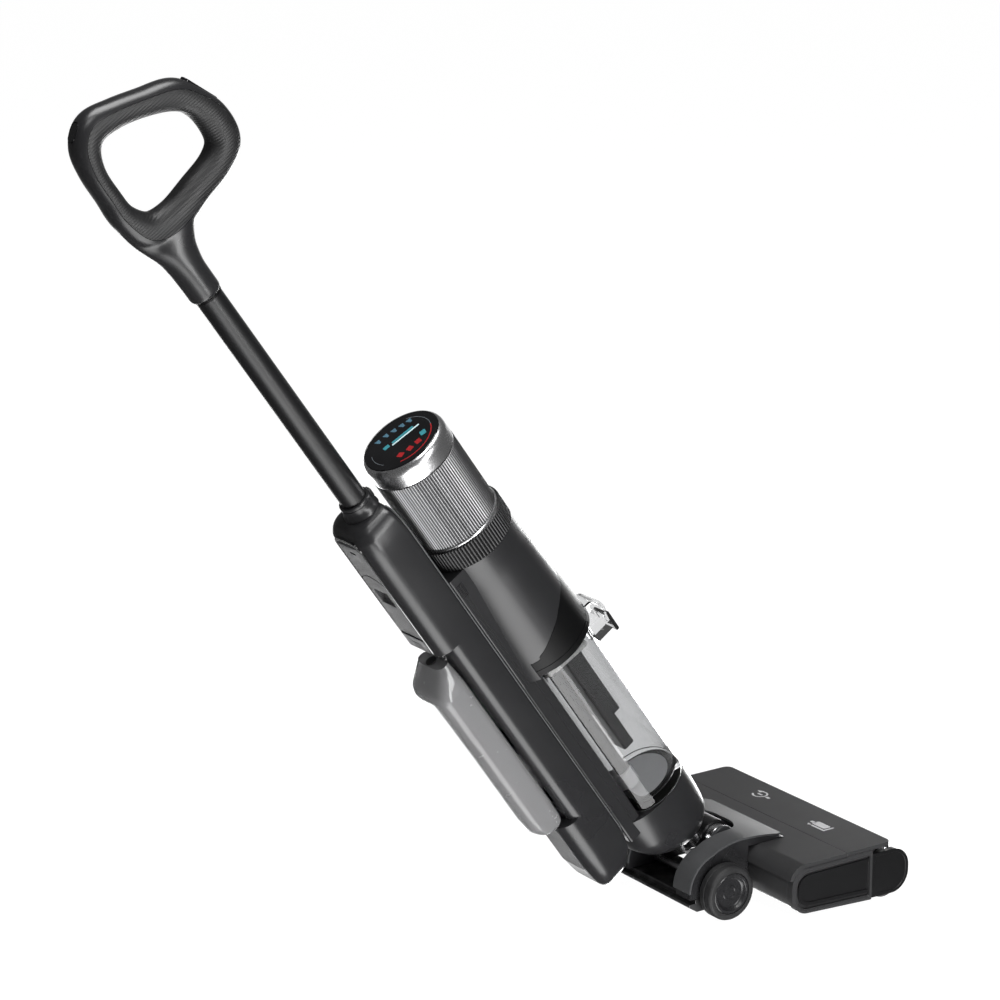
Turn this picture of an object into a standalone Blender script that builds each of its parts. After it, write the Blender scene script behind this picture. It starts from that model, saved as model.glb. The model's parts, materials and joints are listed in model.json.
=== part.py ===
"""Cordless upright wet and dry floor scrubber, as separate solids in one frame.

Metres, +Z up, the machine's front is -Y, its left side is +X.
Head pieces sit in the floor frame (y = 0 on the rear wheel axle).
Body pieces sit in the body frame: z runs up the leaning body, y runs to its back.
"""
import math

import bmesh
import bpy
from mathutils import Matrix, Vector

# ---------------------------------------------------------------- driving dimensions
AXLE_Y = -0.24071
LEAN = math.radians(35.25)
BODY_Y = -0.0048
BODY_Z = 0.0650
GAP = 0.0003

HEAD_HALF = 0.1348
END_INNER = 0.1276
HEAD_TOP = 0.0650
ROLLER_Y = -0.1664
ROLLER_Z = 0.0240
ROLLER_R = 0.0240
CAVITY_R = 0.0258
SEAM_Y = -0.1073
WHEEL_R = 0.0287
WHEEL_OUT = 0.0852
WHEEL_IN = 0.0662
HUB_R = 0.0218
AXLE_R = 0.0040
AXLE_Z = 0.0287
ARM_IN = 0.0410
ARM_OUT = 0.0640
HINGE_Y = -0.0305
HINGE_Z = 0.0626
BARREL_R = 0.0140
BARREL_HALF = 0.0265

SWIVEL_Y = 0.0030
NECK_TOP = 0.0050
CYL_Y = 0.0090
TUBE_Y = 0.0800
TUBE_R = 0.0131
SPINE_HALF = 0.0355
SPINE_FRONT = 0.0635
TANK_BOTTOM = 0.0870
TANK_TOP = 0.3030
RING_LOW = 0.4500
RING_TOP = 0.4740
RIB_TOP = 0.5570
DISPLAY = 0.5796
COLLAR_LOW = 0.5563
COLLAR_TOP = 0.5715
HANDLE_LOW = 0.8345
GRIP_DEPTH = 0.0140
LINER_EDGE = 0.30

COLOURS = {
    "shell_dark": ((0.055, 0.055, 0.058), 0.38, 0.0),
    "shell_black": ((0.018, 0.018, 0.019), 0.42, 0.0),
    "shell_grey": ((0.16, 0.16, 0.165), 0.36, 0.0),
    "panel_grey": ((0.12, 0.12, 0.122), 0.60, 0.0),
    "gloss_black": ((0.008, 0.008, 0.009), 0.08, 0.0),
    "bezel_metal": ((0.78, 0.78, 0.79), 0.16, 1.0),
    "clear": ((0.85, 0.88, 0.90), 0.05, 0.0),
    "smoke": ((0.38, 0.39, 0.40), 0.10, 0.0),
    "rubber": ((0.022, 0.022, 0.022), 0.75, 0.0),
    "plush": ((0.030, 0.030, 0.032), 0.95, 0.0),
    "silver": ((0.50, 0.50, 0.51), 0.34, 1.0),
    "steel": ((0.62, 0.62, 0.63), 0.30, 1.0),
    "light_plastic": ((0.55, 0.55, 0.56), 0.35, 0.0),
    "filter_white": ((0.70, 0.70, 0.68), 0.85, 0.0),
    "board_green": ((0.03, 0.12, 0.06), 0.50, 0.0),
}


# ---------------------------------------------------------------- scene and helpers
def clear_scene():
    for item in list(bpy.data.objects):
        bpy.data.objects.remove(item, do_unlink=True)


def material(name):
    found = bpy.data.materials.get(name)
    if found:
        return found
    colour, roughness, metallic = COLOURS[name]
    made = bpy.data.materials.new(name)
    made.use_nodes = True
    shader = made.node_tree.nodes["Principled BSDF"]
    shader.inputs["Base Color"].default_value = (*colour, 1.0)
    shader.inputs["Roughness"].default_value = roughness
    shader.inputs["Metallic"].default_value = metallic
    return made


def empty(name, parent, place, turn=0.0):
    made = bpy.data.objects.new(name, None)
    bpy.context.collection.objects.link(made)
    made.parent = parent
    made.location = place
    made.rotation_euler = (turn, 0.0, 0.0)
    return made


def add(name, bm, colour, parent, origin=(0.0, 0.0, 0.0), smooth=35.0):
    """Turn a bmesh into a named object whose origin is the given point."""
    bmesh.ops.recalc_face_normals(bm, faces=bm.faces)
    bmesh.ops.translate(bm, verts=bm.verts, vec=-Vector(origin))
    mesh = bpy.data.meshes.new(name)
    bm.to_mesh(mesh)
    bm.free()
    mesh.shade_smooth()
    mesh.set_sharp_from_angle(angle=math.radians(smooth))
    mesh.materials.append(material(colour))
    made = bpy.data.objects.new(name, mesh)
    bpy.context.collection.objects.link(made)
    made.parent = parent
    made.location = origin
    return made


def boolean(target, bm, operation="DIFFERENCE"):
    """Cut or join a bmesh given in the target's parent frame."""
    count = len(target.modifiers)
    tool = add(f"{target.name}_tool_{count}", bm, "shell_dark", target.parent)
    tool.hide_render = True
    tool.display_type = "WIRE"
    step = target.modifiers.new(f"step_{count}", "BOOLEAN")
    step.operation = operation
    step.solver = "EXACT"
    step.object = tool
    return target


def bevel(target, width, segments=2, angle=40.0):
    step = target.modifiers.new("edge", "BEVEL")
    step.width = width
    step.segments = segments
    step.limit_method = "ANGLE"
    step.angle_limit = math.radians(angle)
    return target


def arc(cy, cz, radius, start, end, steps):
    """Points on a circle in a plane, angles in degrees."""
    points = []
    for i in range(steps + 1):
        a = math.radians(start + (end - start) * i / steps)
        points.append((cy + radius * math.cos(a), cz + radius * math.sin(a)))
    return points


def rounded(points, radii, steps=4):
    """Closed outline with each corner replaced by an arc of its own radius."""
    if not isinstance(radii, (list, tuple)):
        radii = [radii] * len(points)
    out = []
    for i, corner in enumerate(points):
        here = Vector(corner)
        before = (Vector(points[i - 1]) - here).normalized()
        after = (Vector(points[(i + 1) % len(points)]) - here).normalized()
        if radii[i] <= 0.0:
            out.append(tuple(here))
            continue
        half = before.angle(after) / 2.0
        reach = radii[i] / math.tan(half)
        centre = here + (before + after).normalized() * (radii[i] / math.sin(half))
        first = here + before * reach - centre
        last = here + after * reach - centre
        sweep = first.angle_signed(last)
        for k in range(steps + 1):
            spin = Matrix.Rotation(-sweep * k / steps, 2)
            out.append(tuple(centre + spin @ first))
    return out


def box_outline(u0, u1, v0, v1, radius=0.0, steps=4):
    return rounded([(u0, v0), (u1, v0), (u1, v1), (u0, v1)], radius, steps)


def bridge(rings, closed=False):
    """Solid through rings of equal count; capped unless it closes on itself."""
    bm = bmesh.new()
    rows = [[bm.verts.new(p) for p in ring] for ring in rings]
    count = len(rows[0])
    pairs = len(rows) if closed else len(rows) - 1
    for i in range(pairs):
        low = rows[i]
        high = rows[(i + 1) % len(rows)]
        for k in range(count):
            n = (k + 1) % count
            bm.faces.new((low[k], low[n], high[n], high[k]))
    if not closed:
        bm.faces.new(list(reversed(rows[0])))
        bm.faces.new(rows[-1])
    return bm


def along_x(outline, x0, x1):
    return bridge([[(x, y, z) for y, z in outline] for x in (x0, x1)])


def along_y(outline, y0, y1):
    return bridge([[(x, y, z) for x, z in outline] for y in (y0, y1)])


def along_z(outline, z0, z1):
    return bridge([[(x, y, z) for x, y in outline] for z in (z0, z1)])


def block(x0, x1, y0, y1, z0, z1):
    return along_z([(x0, y0), (x1, y0), (x1, y1), (x0, y1)], z0, z1)


def turned(profile, centre, axis="Z", segments=32, close=False):
    """Body of revolution; profile is (radius, height), closed on itself for a ring."""
    bm = bmesh.new()
    place = {
        "Z": lambda r, h, a: (r * math.cos(a), r * math.sin(a), h),
        "X": lambda r, h, a: (h, r * math.sin(a), -r * math.cos(a)),
        "Y": lambda r, h, a: (r * math.sin(a), h, r * math.cos(a)),
    }[axis]
    rows = []
    for radius, height in profile:
        if radius == 0.0:
            point = Vector(place(0.0, height, 0.0)) + Vector(centre)
            rows.append([bm.verts.new(point)])
            continue
        row = []
        for k in range(segments):
            point = Vector(place(radius, height, 2.0 * math.pi * k / segments))
            row.append(bm.verts.new(point + Vector(centre)))
        rows.append(row)
    spans = len(rows) if close else len(rows) - 1
    for i in range(spans):
        low = rows[i]
        high = rows[(i + 1) % len(rows)]
        for k in range(segments):
            n = (k + 1) % segments
            if len(low) == 1:
                bm.faces.new((low[0], high[k], high[n]))
            elif len(high) == 1:
                bm.faces.new((low[k], low[n], high[0]))
            else:
                bm.faces.new((low[k], low[n], high[n], high[k]))
    return bm


def rod(radius, centre, lo, hi, axis="X", segments=24):
    return turned([(0.0, lo), (radius, lo), (radius, hi), (0.0, hi)], centre, axis, segments)


def ring(inner, outer, centre, lo, hi, axis="Z", segments=32):
    profile = [(inner, lo), (outer, lo), (outer, hi), (inner, hi)]
    return turned(profile, centre, axis, segments, close=True)


def section(half_x, front, back, z, power=2.6, count=24):
    """Superellipse ring between a front and a back y, half_x wide to each side."""
    mid = (front + back) / 2.0
    half_y = (back - front) / 2.0
    points = []
    for k in range(count):
        a = 2.0 * math.pi * k / count
        c = math.cos(a)
        s = math.sin(a)
        x = half_x * math.copysign(abs(c) ** (2.0 / power), c)
        y = half_y * math.copysign(abs(s) ** (2.0 / power), s)
        points.append((x, mid + y, z))
    return points


def offset_strip(points, thickness):
    """Closed outline of a plate that follows a line, grown to its left side."""
    outer = []
    for i, point in enumerate(points):
        here = Vector(point)
        back = Vector(points[max(i - 1, 0)])
        ahead = Vector(points[min(i + 1, len(points) - 1)])
        run = (ahead - back).normalized()
        outer.append(tuple(here + Vector((-run.y, run.x)) * thickness))
    return list(points) + outer[::-1]


# ---------------------------------------------------------------- cleaning head
def head_base(floor):
    """Lower housing with the roller cavity open to the front and below."""
    made = add("head_base", along_x(head_profile(), -0.1272, 0.1272), "shell_dark", floor)
    boolean(made, rod(0.0200, (0.0, HINGE_Y, HINGE_Z), -0.0425, 0.0425, segments=32))
    boolean(made, block(-0.1123, 0.1123, -0.1375, -0.1341, -0.002, 0.0203))
    boolean(made, scraper_block(0.0003))
    boolean(made, block(-0.0180, 0.0180, -0.1600, -0.0300, 0.0180, 0.0420))
    return made


def head_profile():
    rear = rounded([(-0.0800, 0.0118), (-0.0370, 0.0144), (-0.0370, 0.0608), (-0.0800, 0.0608)],
                   [0.0, 0.021, 0.016, 0.0], 5)
    front = [(-0.1500, 0.0608)]
    cavity = arc(ROLLER_Y, ROLLER_Z, CAVITY_R, 58.0, -40.0, 8)
    return rear + front + cavity


def scraper_block(grow):
    """Strip that leans on the brush from behind, 25 degrees above level."""
    tilt = math.radians(25.0)
    along = Vector((math.cos(tilt), math.sin(tilt)))
    across = Vector((-along.y, along.x))
    base = Vector((ROLLER_Y, ROLLER_Z))
    half = 0.0010 + grow
    corners = []
    for reach, side in ((ROLLER_R + 0.0007 - grow, -half), (ROLLER_R + 0.0007 - grow, half),
                        (ROLLER_R + 0.0085 + grow, half), (ROLLER_R + 0.0085 + grow, -half)):
        corners.append(tuple(base + along * reach + across * side))
    return along_x(corners, -0.1200 - grow, 0.1200 + grow)


def head_fittings(floor):
    add("scraper_strip", scraper_block(0.0), "light_plastic", floor)
    add("squeegee_blade", block(-0.1120, 0.1120, -0.1372, -0.1344, 0.0, 0.0200), "rubber", floor)
    bar = box_outline(-0.1606, -0.1534, 0.0550, 0.0606, 0.0012, 2)
    add("spray_bar", along_x(bar, -0.1100, 0.1100), "shell_black", floor)


def head_rear_cover(floor):
    outline = rounded([(SEAM_Y, 0.0611), (-0.0500, 0.0611), (-0.0488, HEAD_TOP), (SEAM_Y, HEAD_TOP)],
                      [0.0, 0.0004, 0.0022, 0.0], 3)
    made = add("head_rear_cover", along_x(outline, -HEAD_HALF, HEAD_HALF), "shell_dark", floor)
    boolean(made, rod(0.0200, (0.0, HINGE_Y, HINGE_Z), -0.0425, 0.0425, segments=32))
    return made


def head_front_cover(floor):
    """Lift-off cover over the brush, with a short lip down its front."""
    plan = rounded([(-HEAD_HALF, -0.1665), (HEAD_HALF, -0.1665),
                    (HEAD_HALF, SEAM_Y - 0.0006), (-HEAD_HALF, SEAM_Y - 0.0006)],
                   [0.0080, 0.0080, 0.0004, 0.0004], 5)
    made = add("head_front_cover", along_z(plan, 0.0572, HEAD_TOP), "shell_dark", floor)
    boolean(made, block(-0.2, 0.2, -0.1628, -0.0900, 0.0500, 0.0611))
    bevel(made, 0.0009, 2, 60.0)
    return made


def front_guard(floor):
    """Clear curved shield in front of the brush, hung from the cover's lip."""
    outer = arc(ROLLER_Y, ROLLER_Z, ROLLER_R + 0.0019, 86.0, 212.0, 12)
    inner = arc(ROLLER_Y, ROLLER_Z, ROLLER_R + 0.0006, 212.0, 78.0, 12)
    outline = [(-0.1634, 0.0568), (-0.1652, 0.0568)] + outer + inner
    return add("front_guard", along_x(outline, -0.1255, 0.1255), "clear", floor)


def end_outline():
    return rounded([(-0.1414, 0.0070), (-0.0372, 0.0126), (-0.0372, 0.0608), (-0.1414, 0.0608)],
                   [0.0015, 0.0210, 0.0180, 0.0015], 5)


def groove_outline(inset):
    return rounded([(-0.1385, 0.0120 + inset), (-0.0440 - inset, 0.0160 + inset),
                    (-0.0440 - inset, 0.0545 - inset), (-0.1385, 0.0545 - inset)],
                   [0.0010, 0.0150, 0.0150, 0.0010], 4)


def head_end(side, floor):
    """End frame with a shallow stadium groove, and the dark panel set in it."""
    word = "right" if side < 0 else "left"
    inner = side * END_INNER
    outer = side * HEAD_HALF
    frame = add(f"end_frame_{word}", along_x(end_outline(), *sorted((inner, outer))),
                "shell_dark", floor)
    floor_x = side * (END_INNER + 0.0030)
    boolean(frame, along_x(groove_outline(0.0), *sorted((floor_x, side * 0.2))))
    panel_in = side * (END_INNER + 0.0033)
    panel_out = side * (HEAD_HALF - 0.0020)
    add(f"end_panel_{word}", along_x(groove_outline(0.0030), *sorted((panel_in, panel_out))),
        "shell_black", floor)


def cap_outline():
    return rounded([(-0.1418, 0.0082), (-0.1418, 0.0555), (-0.1905, 0.0555), (-0.1905, 0.0070)],
                   [0.0015, 0.0015, 0.0215, 0.0215], 6)


def roller(floor):
    centre = (0.0, ROLLER_Y, ROLLER_Z)
    add("roller_sleeve", ring(0.0196, ROLLER_R, centre, -0.1245, 0.1245, "X", 36),
        "plush", floor, centre)
    add("roller_core", ring(0.0165, 0.0193, centre, -0.1268, 0.1262, "X", 24),
        "light_plastic", floor, centre)
    cap = add("roller_end_cap", along_x(cap_outline(), -0.1340, -0.1273), "shell_black", floor)
    boolean(cap, rod(0.0160, centre, -0.1290, -0.1040, segments=24), "UNION")
    drive = add("roller_drive_cap", along_x(cap_outline(), 0.1273, 0.1340), "shell_black", floor)
    boolean(drive, rod(0.0158, centre, 0.1180, 0.1290, segments=24), "UNION")
    add("roller_motor", rod(0.0152, centre, 0.0400, 0.1176, segments=24), "steel", floor)


# ---------------------------------------------------------------- fork and wheels
def fork_line():
    """Top line of the fork from its front edge, over the arms and down behind."""
    line = [(-0.0832, 0.0655), (-0.0300, 0.0742), (0.0010, 0.0690)]
    return line + arc(0.0, AXLE_Z, 0.0372, 66.0, 2.0, 7)


def slot_outline(half, front, radius):
    """Slot open to the back, with round front corners."""
    return rounded([(half, 0.2000), (-half, 0.2000), (-half, front), (half, front)],
                   [0.0, 0.0, radius, radius], 6)


def fork_frame(floor):
    """Two arms on a bridge that lies on the head and carries the axle."""
    outline = list(fork_line())
    outline += [(0.0372, 0.0228), (-0.0366, 0.0228), (-0.0366, 0.0653)]
    made = add("fork_frame", along_x(outline, -ARM_OUT, ARM_OUT), "shell_dark", floor)
    boolean(made, along_z(slot_outline(ARM_IN, -0.0530, 0.0170), -0.1, 0.2))
    boolean(made, rod(AXLE_R + GAP, (0.0, 0.0, AXLE_Z), -0.1, 0.1, segments=20))
    return made


def fork_cover(floor):
    """Pale skin over the bridge and the arms, with the U-shaped opening."""
    line = fork_line()
    lifted = []
    for i, point in enumerate(line):
        run = Vector(line[min(i + 1, len(line) - 1)]) - Vector(line[max(i - 1, 0)])
        up = Vector((-run.y, run.x)).normalized()
        lifted.append(tuple(Vector(point) + up * 0.0004))
    outline = offset_strip(lifted, 0.0020)
    made = add("fork_cover", along_x(outline, -0.0660, 0.0660), "shell_grey", floor)
    boolean(made, along_z(slot_outline(0.0385, -0.0530, 0.0300), -0.1, 0.2))
    for side in (-1.0, 1.0):
        corner = [(side * 0.0600, -0.1), (side * 0.0560, -0.0860), (side * 0.0600, -0.0780),
                  (side * 0.0661, -0.0300), (side * 0.1, -0.0300), (side * 0.1, -0.1)]
        boolean(made, along_z(corner, 0.0, 0.1))
    return made


def axle_bar(floor):
    """Stepped bar that ties the two arms together under the axle."""
    outline = rounded([(-0.0300, 0.0130), (-0.0100, 0.0086), (0.0280, 0.0086), (0.0380, 0.0150),
                       (0.0380, 0.0180), (0.0300, 0.0180), (0.0300, 0.0224), (-0.0300, 0.0224)],
                      [0.002, 0.003, 0.003, 0.002, 0.001, 0.0, 0.001, 0.002], 3)
    add("axle_bar", along_x(outline, -ARM_OUT, ARM_OUT), "light_plastic", floor)
    add("axle_rod", rod(AXLE_R, (0.0, 0.0, AXLE_Z), -0.0800, 0.0800, segments=20), "steel", floor)


def wheel(side, floor):
    """Tyre with a rounded tread around a dished hub on the axle."""
    word = "right" if side < 0 else "left"
    centre = (0.0, 0.0, AXLE_Z)
    lo = WHEEL_IN
    hi = WHEEL_OUT
    tyre = [(HUB_R, lo), (WHEEL_R - 0.0030, lo), (WHEEL_R - 0.0008, lo + 0.0012),
            (WHEEL_R, lo + 0.0035), (WHEEL_R, hi - 0.0035), (WHEEL_R - 0.0008, hi - 0.0012),
            (WHEEL_R - 0.0030, hi), (HUB_R, hi)]
    hub = [(0.0, hi - 0.0042), (0.0155, hi - 0.0042), (0.0172, hi - 0.0020), (0.0180, hi - 0.0006),
           (0.0212, hi - 0.0006), (HUB_R - GAP, hi - 0.0020), (HUB_R - GAP, lo + 0.0010),
           (0.0085, lo + 0.0010), (0.0085, lo - 0.0016), (AXLE_R + GAP, lo - 0.0016),
           (AXLE_R + GAP, 0.0802), (0.0, 0.0802)]
    add(f"tyre_{word}", turned([(r, side * h) for r, h in tyre], centre, "X", 32, close=True),
        "rubber", floor, centre)
    add(f"wheel_hub_{word}", turned([(r, side * h) for r, h in hub], centre, "X", 24),
        "shell_dark", floor, centre)


def pivot_cap(side, floor):
    """Collar in the fork arm that carries the end of the tilt barrel."""
    word = "right" if side < 0 else "left"
    profile = [(0.0, side * 0.0268), (0.0140, side * 0.0268), (0.0150, side * 0.0278),
               (0.0150, side * 0.0315), (0.0070, side * 0.0315), (0.0070, side * 0.0407),
               (0.0, side * 0.0407)]
    add(f"pivot_cap_{word}", turned(profile, (0.0, HINGE_Y, HINGE_Z), "X", 24),
        "shell_grey", floor)


# ---------------------------------------------------------------- neck
def hinge_in_body():
    """Tilt axis of the head, given in the leaning body frame."""
    dy = HINGE_Y - BODY_Y
    dz = HINGE_Z - BODY_Z
    y = dy * math.cos(LEAN) - dz * math.sin(LEAN)
    z = dy * math.sin(LEAN) + dz * math.cos(LEAN)
    return (0.0, y, z)


def knuckle(body):
    hinge = hinge_in_body()
    profile = [(0.0, -BARREL_HALF), (0.0130, -BARREL_HALF), (BARREL_R, -BARREL_HALF + 0.001),
               (BARREL_R, BARREL_HALF - 0.001), (0.0130, BARREL_HALF), (0.0, BARREL_HALF)]
    add("tilt_barrel", turned(profile, hinge, "X", 28), "bezel_metal", body, hinge)
    rings = [section(0.0150, -0.0270, -0.0010, -0.0200, 2.4, 20),
             section(0.0160, -0.0250, 0.0100, -0.0100, 2.2, 20),
             section(0.0158, SWIVEL_Y - 0.0170, SWIVEL_Y + 0.0160, -0.0020, 2.0, 20),
             section(0.0155, SWIVEL_Y - 0.0155, SWIVEL_Y + 0.0155, NECK_TOP, 2.0, 20)]
    neck = add("neck_joint", bridge(rings), "shell_black", body, hinge)
    eye = rod(0.0176, hinge, -0.0170, 0.0170, segments=28)
    boolean(neck, eye, "UNION")
    boolean(neck, rod(BARREL_R + GAP, hinge, -0.05, 0.05, segments=28))
    return neck


# ---------------------------------------------------------------- main body
def body_boss(body):
    """Bowl under the recovery tank, with a rib up to the motor housing behind the tank."""
    rings = [section(0.0155, -0.0120, 0.0180, NECK_TOP + 0.0004, 2.0, 28),
             section(0.0240, -0.0200, 0.0280, 0.0095, 2.1, 28),
             section(0.0315, -0.0285, 0.0400, 0.0180, 2.3, 28),
             section(0.0365, -0.0340, 0.0520, 0.0300, 2.6, 28),
             section(0.0395, -0.0360, 0.0605, 0.0480, 3.0, 28),
             section(0.0415, -0.0378, 0.0628, TANK_BOTTOM - 0.0006, 3.4, 28)]
    made = add("body_boss", bridge(rings), "shell_dark", body)
    plan = box_outline(-0.0315, 0.0315, 0.0385, SPINE_FRONT - 0.0006, 0.0030, 3)
    return boolean(made, along_z(plan, 0.0700, 0.2996), "UNION")


def spine_section(z, half, front, back, radius_back, radius_front):
    outline = rounded([(-half, front), (half, front), (half, back), (-half, back)],
                      [radius_front, radius_front, radius_back, radius_back], 5)
    return [(x, y, z) for x, y in outline]


def spine(body):
    """Long rear housing, round at both ends, with bays let into its back."""
    low = [(0.0440, 0.0150, 0.0880, 0.1050, 0.006, 0.006),
           (0.0480, 0.0240, 0.0815, 0.1090, 0.010, 0.008),
           (0.0570, 0.0310, 0.0735, 0.1120, 0.014, 0.009),
           (0.0720, 0.0345, 0.0665, 0.1140, 0.017, 0.009),
           (0.0950, SPINE_HALF, SPINE_FRONT, 0.1150, 0.018, 0.008),
           (0.1440, SPINE_HALF, SPINE_FRONT, 0.1148, 0.018, 0.008),
           (0.1450, SPINE_HALF, SPINE_FRONT, 0.1010, 0.012, 0.008),
           (0.3935, SPINE_HALF, SPINE_FRONT, 0.1010, 0.012, 0.008),
           (0.3945, SPINE_HALF, SPINE_FRONT, 0.1118, 0.016, 0.008),
           (0.5280, SPINE_HALF, SPINE_FRONT, 0.1118, 0.016, 0.008),
           (0.5420, 0.0335, 0.0640, 0.1112, 0.015, 0.009),
           (0.5520, 0.0285, 0.0645, 0.1070, 0.013, 0.009),
           (0.5560, 0.0215, 0.0650, 0.0975, 0.010, 0.009)]
    rings = [spine_section(*row) for row in low]
    made = add("spine_shell", bridge(rings), "shell_dark", body)
    boolean(made, rod(TUBE_R + GAP, (0.0, TUBE_Y, 0.0), 0.5050, 0.6, "Z", 24))
    boolean(made, battery_bay())
    boolean(made, block(-0.0230, 0.0230, 0.0740, 0.1200, 0.1700, 0.2400))
    boolean(made, block(-0.0230, 0.0230, 0.0880, 0.1200, 0.2520, 0.3380))
    return made


def battery_bay():
    steps = [(0.0672, 0.3924), (0.1300, 0.3924), (0.1300, 0.5424), (0.0960, 0.5424),
             (0.0960, 0.4984), (0.0672, 0.4984)]
    return along_x(steps, -0.0194, 0.0194)


def battery(body):
    """Cell pack with a flat back panel, held by a latch at its lower end."""
    steps = rounded([(0.0676, 0.3928), (0.1098, 0.4130), (0.1120, 0.4160), (0.1120, 0.5380),
                     (0.1080, 0.5420), (0.0964, 0.5420), (0.0964, 0.4980), (0.0676, 0.4980)],
                    [0.001, 0.001, 0.001, 0.004, 0.002, 0.001, 0.0, 0.001], 3)
    made = add("battery_pack", along_x(steps, -0.0190, 0.0190), "panel_grey", body)
    boolean(made, rod(0.0100, (0.0, 0.1160, 0.4680), -0.0120, 0.0120, "X", 24))
    latch = rounded([(0.0990, 0.3940), (0.1120, 0.3940), (0.1128, 0.4148), (0.1098, 0.4126),
                     (0.0990, 0.4074)], [0.001, 0.0015, 0.0006, 0.0, 0.0006], 3)
    add("battery_latch", along_x(latch, -0.0186, 0.0186), "panel_grey", body)


def clean_tank(body):
    """Clear water tank behind the lower spine, with a thin clear mouth tab."""
    rings = [section(0.0240, 0.1040, 0.1250, 0.1460, 3.0),
             section(0.0285, 0.1020, 0.1330, 0.1520, 3.4),
             section(0.0305, 0.1018, 0.1376, 0.1640, 3.8),
             section(0.0312, 0.1016, 0.1388, 0.1850, 4.0),
             section(0.0312, 0.1016, 0.1388, 0.3480, 4.0),
             section(0.0300, 0.1016, 0.1370, 0.3560, 3.8),
             section(0.0260, 0.1018, 0.1270, 0.3680, 3.4),
             section(0.0215, 0.1022, 0.1180, 0.3780, 3.0)]
    made = add("clean_tank", bridge(rings), "smoke", body)
    inside = [section(0.0245, 0.1044, 0.1310, 0.1560, 3.0),
              section(0.0292, 0.1036, 0.1368, 0.1850, 4.0),
              section(0.0292, 0.1036, 0.1368, 0.3470, 4.0),
              section(0.0200, 0.1046, 0.1210, 0.3660, 3.0)]
    boolean(made, bridge(inside))
    boolean(made, rod(0.0047, (0.0, 0.1115, 0.0), 0.3600, 0.3900, "Z", 20))
    plug = [(0.0, 0.3640), (0.0044, 0.3640), (0.0044, 0.3783), (0.0056, 0.3783),
            (0.0056, 0.3800), (0.0, 0.3800)]
    add("clean_tank_plug", turned(plug, (0.0, 0.1115, 0.0), "Z", 20), "rubber", body)
    add("clean_tank_tab", block(-0.0180, 0.0180, 0.1024, 0.1050, 0.3783, 0.3925), "clear", body)


def spine_internals(body):
    pump = rounded([(-0.0200, 0.1760), (0.0200, 0.1760), (0.0200, 0.2340), (-0.0200, 0.2340)], 0.006, 4)
    add("water_pump", along_y(pump, 0.0760, 0.0980), "shell_black", body)
    board = box_outline(-0.0215, 0.0215, 0.2560, 0.3340, 0.0010, 2)
    add("control_board", along_y(board, 0.0910, 0.0928), "board_green", body)


# ---------------------------------------------------------------- recovery tank
def seam_line(shift):
    """Sloping boundary between the motor housing and the tank's lid, seen from the side."""
    line = [(-0.0700, 0.3640), (-0.0380, 0.3630), (-0.0230, 0.3560), (0.0020, 0.3440),
            (0.0270, 0.3290), (0.0370, 0.3240), (0.0700, 0.3180)]
    return [(y, z + shift) for y, z in line]


def housing_radius(z):
    """Radius of the barrel above the tank, which widens towards the tank's rim."""
    return 0.0465 + max(0.0, 0.4300 - z) * 0.0640


def barrel_rings(heights, count=36):
    rings = []
    for z in heights:
        radius = housing_radius(z)
        rings.append([(radius * math.cos(2.0 * math.pi * k / count),
                       CYL_Y + radius * math.sin(2.0 * math.pi * k / count), z)
                      for k in range(count)])
    return rings


def motor_housing(body):
    """Barrel that holds the fan, joined to the spine by a flat-sided web."""
    heights = (0.3000, 0.3500, 0.4000, 0.4300, RING_LOW - 0.0003)
    made = add("motor_housing", bridge(barrel_rings(heights)), "shell_dark", body)
    web = box_outline(-0.0330, 0.0330, 0.0300, SPINE_FRONT - 0.0006, 0.0030, 3)
    boolean(made, along_z(web, 0.3004, RING_LOW - 0.0003), "UNION")
    under = [point for point in seam_line(0.0) if point[0] < 0.0450]
    under += [(0.0450, 0.3226), (0.0450, 0.2), (-0.0700, 0.2)]
    boolean(made, along_x(under, -0.0700, 0.0700))
    boolean(made, block(-0.1, 0.1, SPINE_FRONT - 0.0005, 0.1, 0.2, 0.5))
    boolean(made, rod(0.0410, (0.0, CYL_Y, 0.0), 0.3720, 0.5, "Z", 32))
    return made


def fan(body):
    centre = (0.0, CYL_Y, 0.0)
    add("fan_motor", rod(0.0330, centre, 0.3740, 0.4200, "Z", 32), "steel", body)
    count = 10
    disc = add("fan_impeller", rod(0.0300, centre, 0.4230, 0.4262, "Z", 24), "shell_grey", body, centre)
    blades = bmesh.new()
    for k in range(count):
        a = 2.0 * math.pi * k / count
        blade = block(0.0060, 0.0285, -0.0008, 0.0008, 0.4255, 0.4360)
        bmesh.ops.rotate(blade, verts=blade.verts, cent=(0.0, 0.0, 0.0),
                         matrix=Matrix.Rotation(a, 3, "Z"))
        bmesh.ops.translate(blade, verts=blade.verts, vec=(0.0, CYL_Y, 0.0))
        piece = bpy.data.meshes.new("blade")
        blade.to_mesh(piece)
        blade.free()
        blades.from_mesh(piece)
        bpy.data.meshes.remove(piece)
    boolean(disc, blades, "UNION")
    boolean(disc, rod(0.0080, centre, 0.4250, 0.4380, "Z", 24), "UNION")
    return disc


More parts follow.
